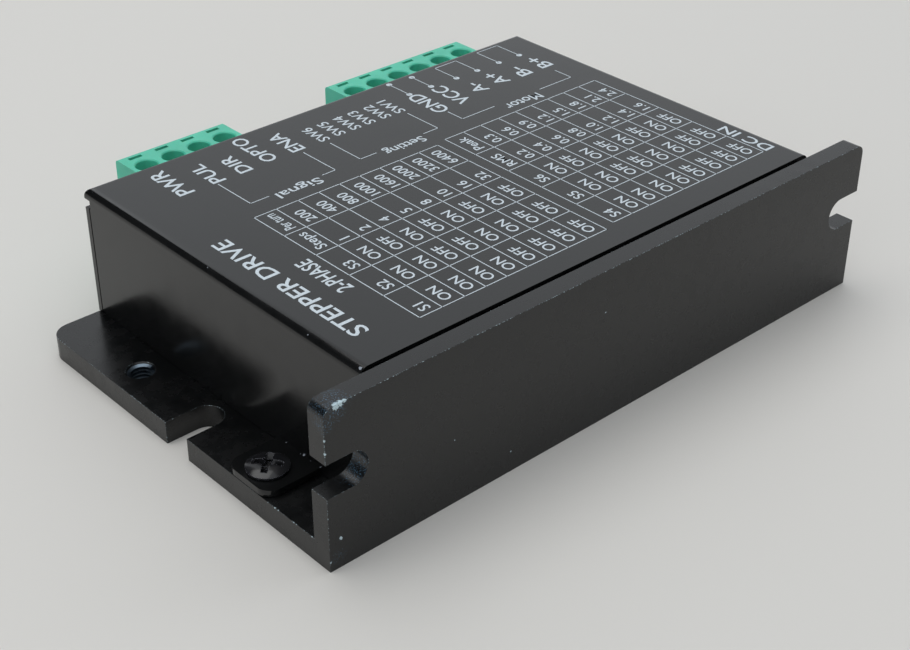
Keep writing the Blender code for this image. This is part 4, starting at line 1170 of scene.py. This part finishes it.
def makeStandoffs(brass):
    shape = standoffShape
    for node in standoffs:
        low, high = cadSpan(node)
        x, y = (low.x + high.x) / 2, (low.y + high.y) / 2
        bottom = bracketShape["base"] + shape["gap"]
        corner = shape["across"] / 2 / math.cos(math.pi / 6)
        bm = bmesh.new()
        bmesh.ops.create_cone(
            bm, cap_ends=True, segments=6, radius1=corner, radius2=corner, depth=high.z - bottom,
            matrix=Matrix.Translation((x, y, (high.z + bottom) / 2)))
        tool = bmesh.new()     # the turned chamfer that takes the corners off a hexagon
        addRod(tool, (x, y, high.z - 1.8), (x, y, high.z + 0.2), 4.0, 2.0)
        addRod(tool, (x, y, bottom - 1), (x, y, high.z - 1.79), 4.0, 4.0)
        carve(bm, tool, "INTERSECT")
        cutRods(bm, ((x, y, bottom + 0.4), (x, y, high.z + 1), shape["bore"]))
        softenEdges(bm, 0.06, 2, 25)
        stud, foot = shape["stud"], low.z - bottom
        turnProfile(bm, [(0, 0.5), (stud, 0.5), (stud, foot + 0.3), (stud - 0.3, foot), (0, foot)],
                    (x, y, bottom), steps=28)
        threadRidge(bm, (x, y, bottom - 0.35), stud - 0.03, shape["studCrest"], shape["pitch"], 4, 20)
        finishPiece(bm, node + "_fine", "root", brass, "standoff_brass", node)
    print("standoffs made")


# One row of gull-wing legs along one side of a chip. Outline points are (outward, height).
def addLegs(bm, start, step, count, outward, height, reach, width, foot=0.0):
    start, step, outward = Vector(start), Vector(step), Vector(outward)
    along = step.normalized()
    thick = 0.14
    outline = [(-0.3, height), (reach * 0.35, height), (reach * 0.55, foot + thick), (reach, foot + thick),
               (reach, foot), (reach * 0.45, foot), (reach * 0.28, height - thick), (-0.3, height - thick)]
    for number in range(count):
        root = start + step * number - along * width / 2
        part = prismShape([root + outward * out + Vector((0, 0, up)) for out, up in outline],
                          along * width)
        bmesh.ops.recalc_face_normals(part, faces=part.faces)
        joinShape(bm, part)


# Chips: how many legs a side has, their pitch, width and reach, and whether all four sides have them
optocoupler = {"perSide": 4, "pitch": 2.2, "width": 0.9, "reach": 1.1, "allSides": False}
bridgeChip = {"perSide": 10, "pitch": 1.27, "width": 0.42, "reach": 1.3, "allSides": False}
chipShapes = {
    "controller_chip": {"perSide": 11, "pitch": 0.8, "width": 0.34, "reach": 1.0, "allSides": True},
    "regulator_chip": {"perSide": 3, "pitch": 2.0, "width": 0.8, "reach": 1.6, "allSides": False},
    "optocoupler_pulse": optocoupler, "optocoupler_direction": optocoupler,
    "optocoupler_enable": optocoupler, "bridge_chip_a": bridgeChip, "bridge_chip_b": bridgeChip,
}


def makeChips(epoxy, tin):
    for node, shape in chipShapes.items():
        low, high = cadSpan(node)
        under = node.startswith("bridge")
        draft = min(0.35, (high.z - low.z) * 0.2)
        bm = boxShape(low, high)
        belt = (low.z + high.z) / 2
        bmesh.ops.bisect_plane(bm, geom=bm.verts[:] + bm.edges[:] + bm.faces[:],
                               plane_co=(0, 0, belt), plane_no=(0, 0, 1))
        middle = (low + high) / 2
        for vert in bm.verts:
            if abs(vert.co.z - belt) > 0.01:       # moulded sides lean in from the parting line
                vert.co.x += draft if vert.co.x < middle.x else -draft
                vert.co.y += draft if vert.co.y < middle.y else -draft
        top = low.z if under else high.z
        away = -1 if under else 1
        tool = bmesh.new()
        bmesh.ops.create_uvsphere(tool, u_segments=20, v_segments=12, radius=0.6,
                                  matrix=Matrix.Translation((low.x + draft + 1.1, low.y + draft + 1.1,
                                                             top + away * 0.45)))
        carve(bm, tool)
        softenEdges(bm, 0.09, 2, 20)
        finishPiece(bm, node + "_body", "root", epoxy, "chip_epoxy", node)

        bm = bmesh.new()
        legs = (shape["perSide"] - 1) / 2 * shape["pitch"]
        reach, width = shape["reach"], shape["width"]
        board = cadSpan("main_board")
        foot = board[0].z if under else board[1].z + 0.01
        for sign in (-1, 1):
            start = (middle.x - legs, middle.y + sign * ((high.y - low.y) / 2 - draft * 0.2), 0)
            addLegs(bm, start, (shape["pitch"], 0, 0), shape["perSide"], (0, sign, 0), belt + 0.07,
                    reach, width, foot - (0.15 if under else 0))
            if shape["allSides"]:
                start = (middle.x + sign * ((high.x - low.x) / 2 - draft * 0.2), middle.y - legs, 0)
                addLegs(bm, start, (0, shape["pitch"], 0), shape["perSide"], (sign, 0, 0), belt + 0.07,
                        reach, width, foot)
        finishPiece(bm, node + "_legs", "root", tin, "contact_tin")
    print("chips made")


# Two-ended parts: the body lies between two metal ends. Ends are a share of the length.
endedShapes = {
    "sense_resistor_a": {"end": 0.16, "lift": 0.0}, "sense_resistor_b": {"end": 0.16, "lift": 0.0},
    "fuse": {"end": 0.22, "lift": 0.12},
}
passiveSize = (1.6, 0.8, 0.5)
passiveRows = [               # first X, first Y, step in X, step in Y, count, which kind comes first
    (-32.0, 5.0, 0, -1.7, 8, 0), (13.0, 9.5, 2.3, 0, 6, 1),
    (-8.5, -12.5, 2.4, 0, 5, 1), (-31.0, -13.5, 2.0, 0, 4, 1)]


def addEnded(body, ends, low, high, share, lift):
    end = (high.x - low.x) * share
    softBox(body, (low.x + end * 0.6, low.y + lift, low.z + 0.03 + lift),
            (high.x - end * 0.6, high.y - lift, high.z - lift), 0.05)
    for left, right in ((low.x, low.x + end), (high.x - end, high.x)):
        softBox(ends, (left, low.y, low.z), (right, high.y, high.z), min(0.12, end / 4))


def makeEnded(epoxy, tin, ceramic):
    for node, shape in endedShapes.items():
        low, high = cadSpan(node)
        body, ends = bmesh.new(), bmesh.new()
        addEnded(body, ends, low, high, shape["end"], shape["lift"])
        finishPiece(body, node + "_body", "root", ceramic if node == "fuse" else epoxy,
                    "chip_epoxy", node)
        finishPiece(ends, node + "_ends", "root", tin, "contact_tin")
    resistors, capacitors, ends = bmesh.new(), bmesh.new(), bmesh.new()
    length, wide, tall = passiveSize
    z = cadSpan("main_board")[1].z
    for x, y, stepX, stepY, count, first in passiveRows:
        for number in range(count):
            low = Vector((x + number * stepX - length / 2, y + number * stepY - wide / 2, z))
            addEnded(resistors if (number + first) % 2 else capacitors, ends, low,
                     low + Vector((length, wide, tall)), 0.2, 0.02)
    finishPiece(resistors, "chip_resistors", "root", epoxy, "chip_epoxy")
    finishPiece(capacitors, "chip_capacitors", "root", ceramic, "ferrite")
    finishPiece(ends, "chip_part_ends", "root", tin, "contact_tin")
    print("small parts made")


def makeCapacitors(sleeve, can):
    for node in ("bulk_capacitor_a", "bulk_capacitor_b"):
        low, high = cadSpan(node)
        middle = (low + high) / 2
        radius, tall = (high.x - low.x) / 2 - 0.05, high.z - low.z
        place = (middle.x, middle.y, low.z)
        bm = bmesh.new()
        groove = [(radius - 0.3 * math.sin(math.radians(angle)), 1.0 + 0.9 * angle / 180)
                  for angle in range(0, 181, 20)]
        turnProfile(bm, [(0, 0.15), (radius - 0.3, 0.15), (radius, 0.4)] + groove
                    + [(radius, tall - 0.45), (radius - 0.15, tall - 0.12), (radius - 0.5, tall),
                       (radius - 0.75, tall), (radius - 0.75, tall - 0.2), (0, tall - 0.2)], place, steps=64)
        finishPiece(bm, node + "_sleeve", "root", sleeve, "capacitor_sleeve", node)
        bm = bmesh.new()
        turnProfile(bm, [(0, tall - 0.22), (radius - 0.78, tall - 0.22), (radius - 0.78, tall - 0.02),
                         (radius - 1.0, tall - 0.06), (0, tall - 0.06)], place, steps=64)
        for wide, deep in ((4, 0.12), (0.12, 4)):      # the vent's cross
            cutBoxes(bm, around(middle.x, middle.y, wide, deep, high.z - 0.14, high.z + 1))
        finishPiece(bm, node + "_vent", "root", can, "bright_can")
    print("capacitors made")


def makeCrystal(can):
    low, high = cadSpan("crystal")
    bm = boxShape((low.x + 0.35, low.y + 0.35, low.z + 0.3), (high.x - 0.35, high.y - 0.35, high.z))
    roundSome(bm, (high.y - low.y) / 2 - 0.4, 10, lambda edge: runsAlong(edge, 2))
    softenEdges(bm, 0.3, 4, 50)
    flange = boxShape(low, (high.x, high.y, low.z + 0.4))
    roundSome(flange, (high.y - low.y) / 2 - 0.03, 10, lambda edge: runsAlong(edge, 2))
    softenEdges(flange, 0.1, 2, 50)
    joinShape(bm, flange)
    finishPiece(bm, "crystal_can", "root", can, "bright_can", "crystal")
    print("crystal made")


def makeInductor(ferrite):
    low, high = cadSpan("inductor")
    middle = (low + high) / 2
    bm = boxShape(low, high)
    roundSome(bm, 1.6, 4, lambda edge: runsAlong(edge, 2))
    cutRods(bm, ((middle.x, middle.y, high.z - 0.6), (middle.x, middle.y, high.z + 1), 3.9))
    addRod(bm, (middle.x, middle.y, high.z - 0.8), (middle.x, middle.y, high.z - 0.05), 3.4, 3.3, 64)
    softenEdges(bm, 0.12, 2, 40)
    finishPiece(bm, "inductor_core", "root", ferrite, "ferrite", "inductor")
    print("inductor made")


def makeThermalPad(silicone):
    low, high = cadSpan("thermal_pad")
    bm = boxShape(low, high)
    roundSome(bm, 0.8, 4, lambda edge: runsAlong(edge, 2))
    softenEdges(bm, 0.12, 3, 40)
    finishPiece(bm, "thermal_pad_sheet", "root", silicone, "thermal_silicone", "thermal_pad")
    print("thermal pad made")


def makeFinishes():
    plug, screw = finishLook["plug"], finishLook["blackScrew"]
    return {
        "bracket": bracketFinish(),
        "cover": coverFinish(),
        "thread": metalFinish("threadFinish", finishLook["thread"]["colour"], 0.3, None, 0.2),
        "ink": inkFinish(),
        "plug": plasticFinish("plugFinish", plug["colour"], plug["roughness"], glow=0.15),
        # The black screw's pale edges are a painted highlight for glints.
        "blackScrew": metalFinish("blackScrewFinish", screw["colour"], 0.17, screw["bare"], 0.5,
                                  metallic=0.0),
        "steel": metalFinish("steelFinish", (0.50, 0.50, 0.51), 0.3, (0.8, 0.8, 0.8)),
        "zinc": metalFinish("zincFinish", (0.56, 0.57, 0.59), 0.33, (0.75, 0.76, 0.78)),
        "tin": metalFinish("tinFinish", (0.68, 0.67, 0.64), 0.24, (0.85, 0.85, 0.83)),
        "brass": metalFinish("brassFinish", (0.66, 0.46, 0.17), 0.27, (0.85, 0.68, 0.35)),
        "can": metalFinish("canFinish", (0.72, 0.72, 0.71), 0.22, (0.85, 0.85, 0.85),
                           0.8, (1, 12, 12)),
        "board": boardFinish(),
        "tracks": plasticFinish("trackFinish", (0.03, 0.24, 0.09), 0.28),
        "solder": metalFinish("solderFinish", (0.62, 0.62, 0.60), 0.25, None, 0.5),
        "silicone": plasticFinish("siliconeFinish", (0.30, 0.32, 0.36), 0.7, 0.02, 0.5),
        "dip": plasticFinish("dipFinish", (0.015, 0.07, 0.38), 0.38),
        "slider": plasticFinish("sliderFinish", (0.78, 0.77, 0.73), 0.42),
        "lamp": lampFinish(),
        "epoxy": plasticFinish("epoxyFinish", (0.016, 0.016, 0.018), 0.5, 0.012, 0.14),
        "ceramic": plasticFinish("ceramicFinish", (0.62, 0.55, 0.42), 0.5, 0.01, 0.2),
        "ferrite": plasticFinish("ferriteFinish", (0.035, 0.035, 0.038), 0.6, 0.02, 0.2),
        "sleeve": plasticFinish("sleeveFinish", (0.012, 0.013, 0.03), 0.33, 0.006, 0.8),
    }


makeStudio()
finishes = makeFinishes()
makeBracket(finishes["bracket"], finishes["thread"])
makeCover(finishes["cover"])
makeLegend(finishes["ink"])
makeScrews(finishes["blackScrew"], finishes["steel"])
makeTerminals(finishes)
makeDipSwitch(finishes["dip"], finishes["slider"], finishes["ink"], finishes["tin"])
makeLamp(finishes["lamp"], finishes["tin"])
makeBoard(finishes["board"], finishes["tracks"], finishes["solder"])
makeStandoffs(finishes["brass"])
makeChips(finishes["epoxy"], finishes["tin"])
makeEnded(finishes["epoxy"], finishes["tin"], finishes["ceramic"])
makeCapacitors(finishes["sleeve"], finishes["can"])
makeCrystal(finishes["can"])
makeInductor(finishes["ferrite"])
makeThermalPad(finishes["silicone"])
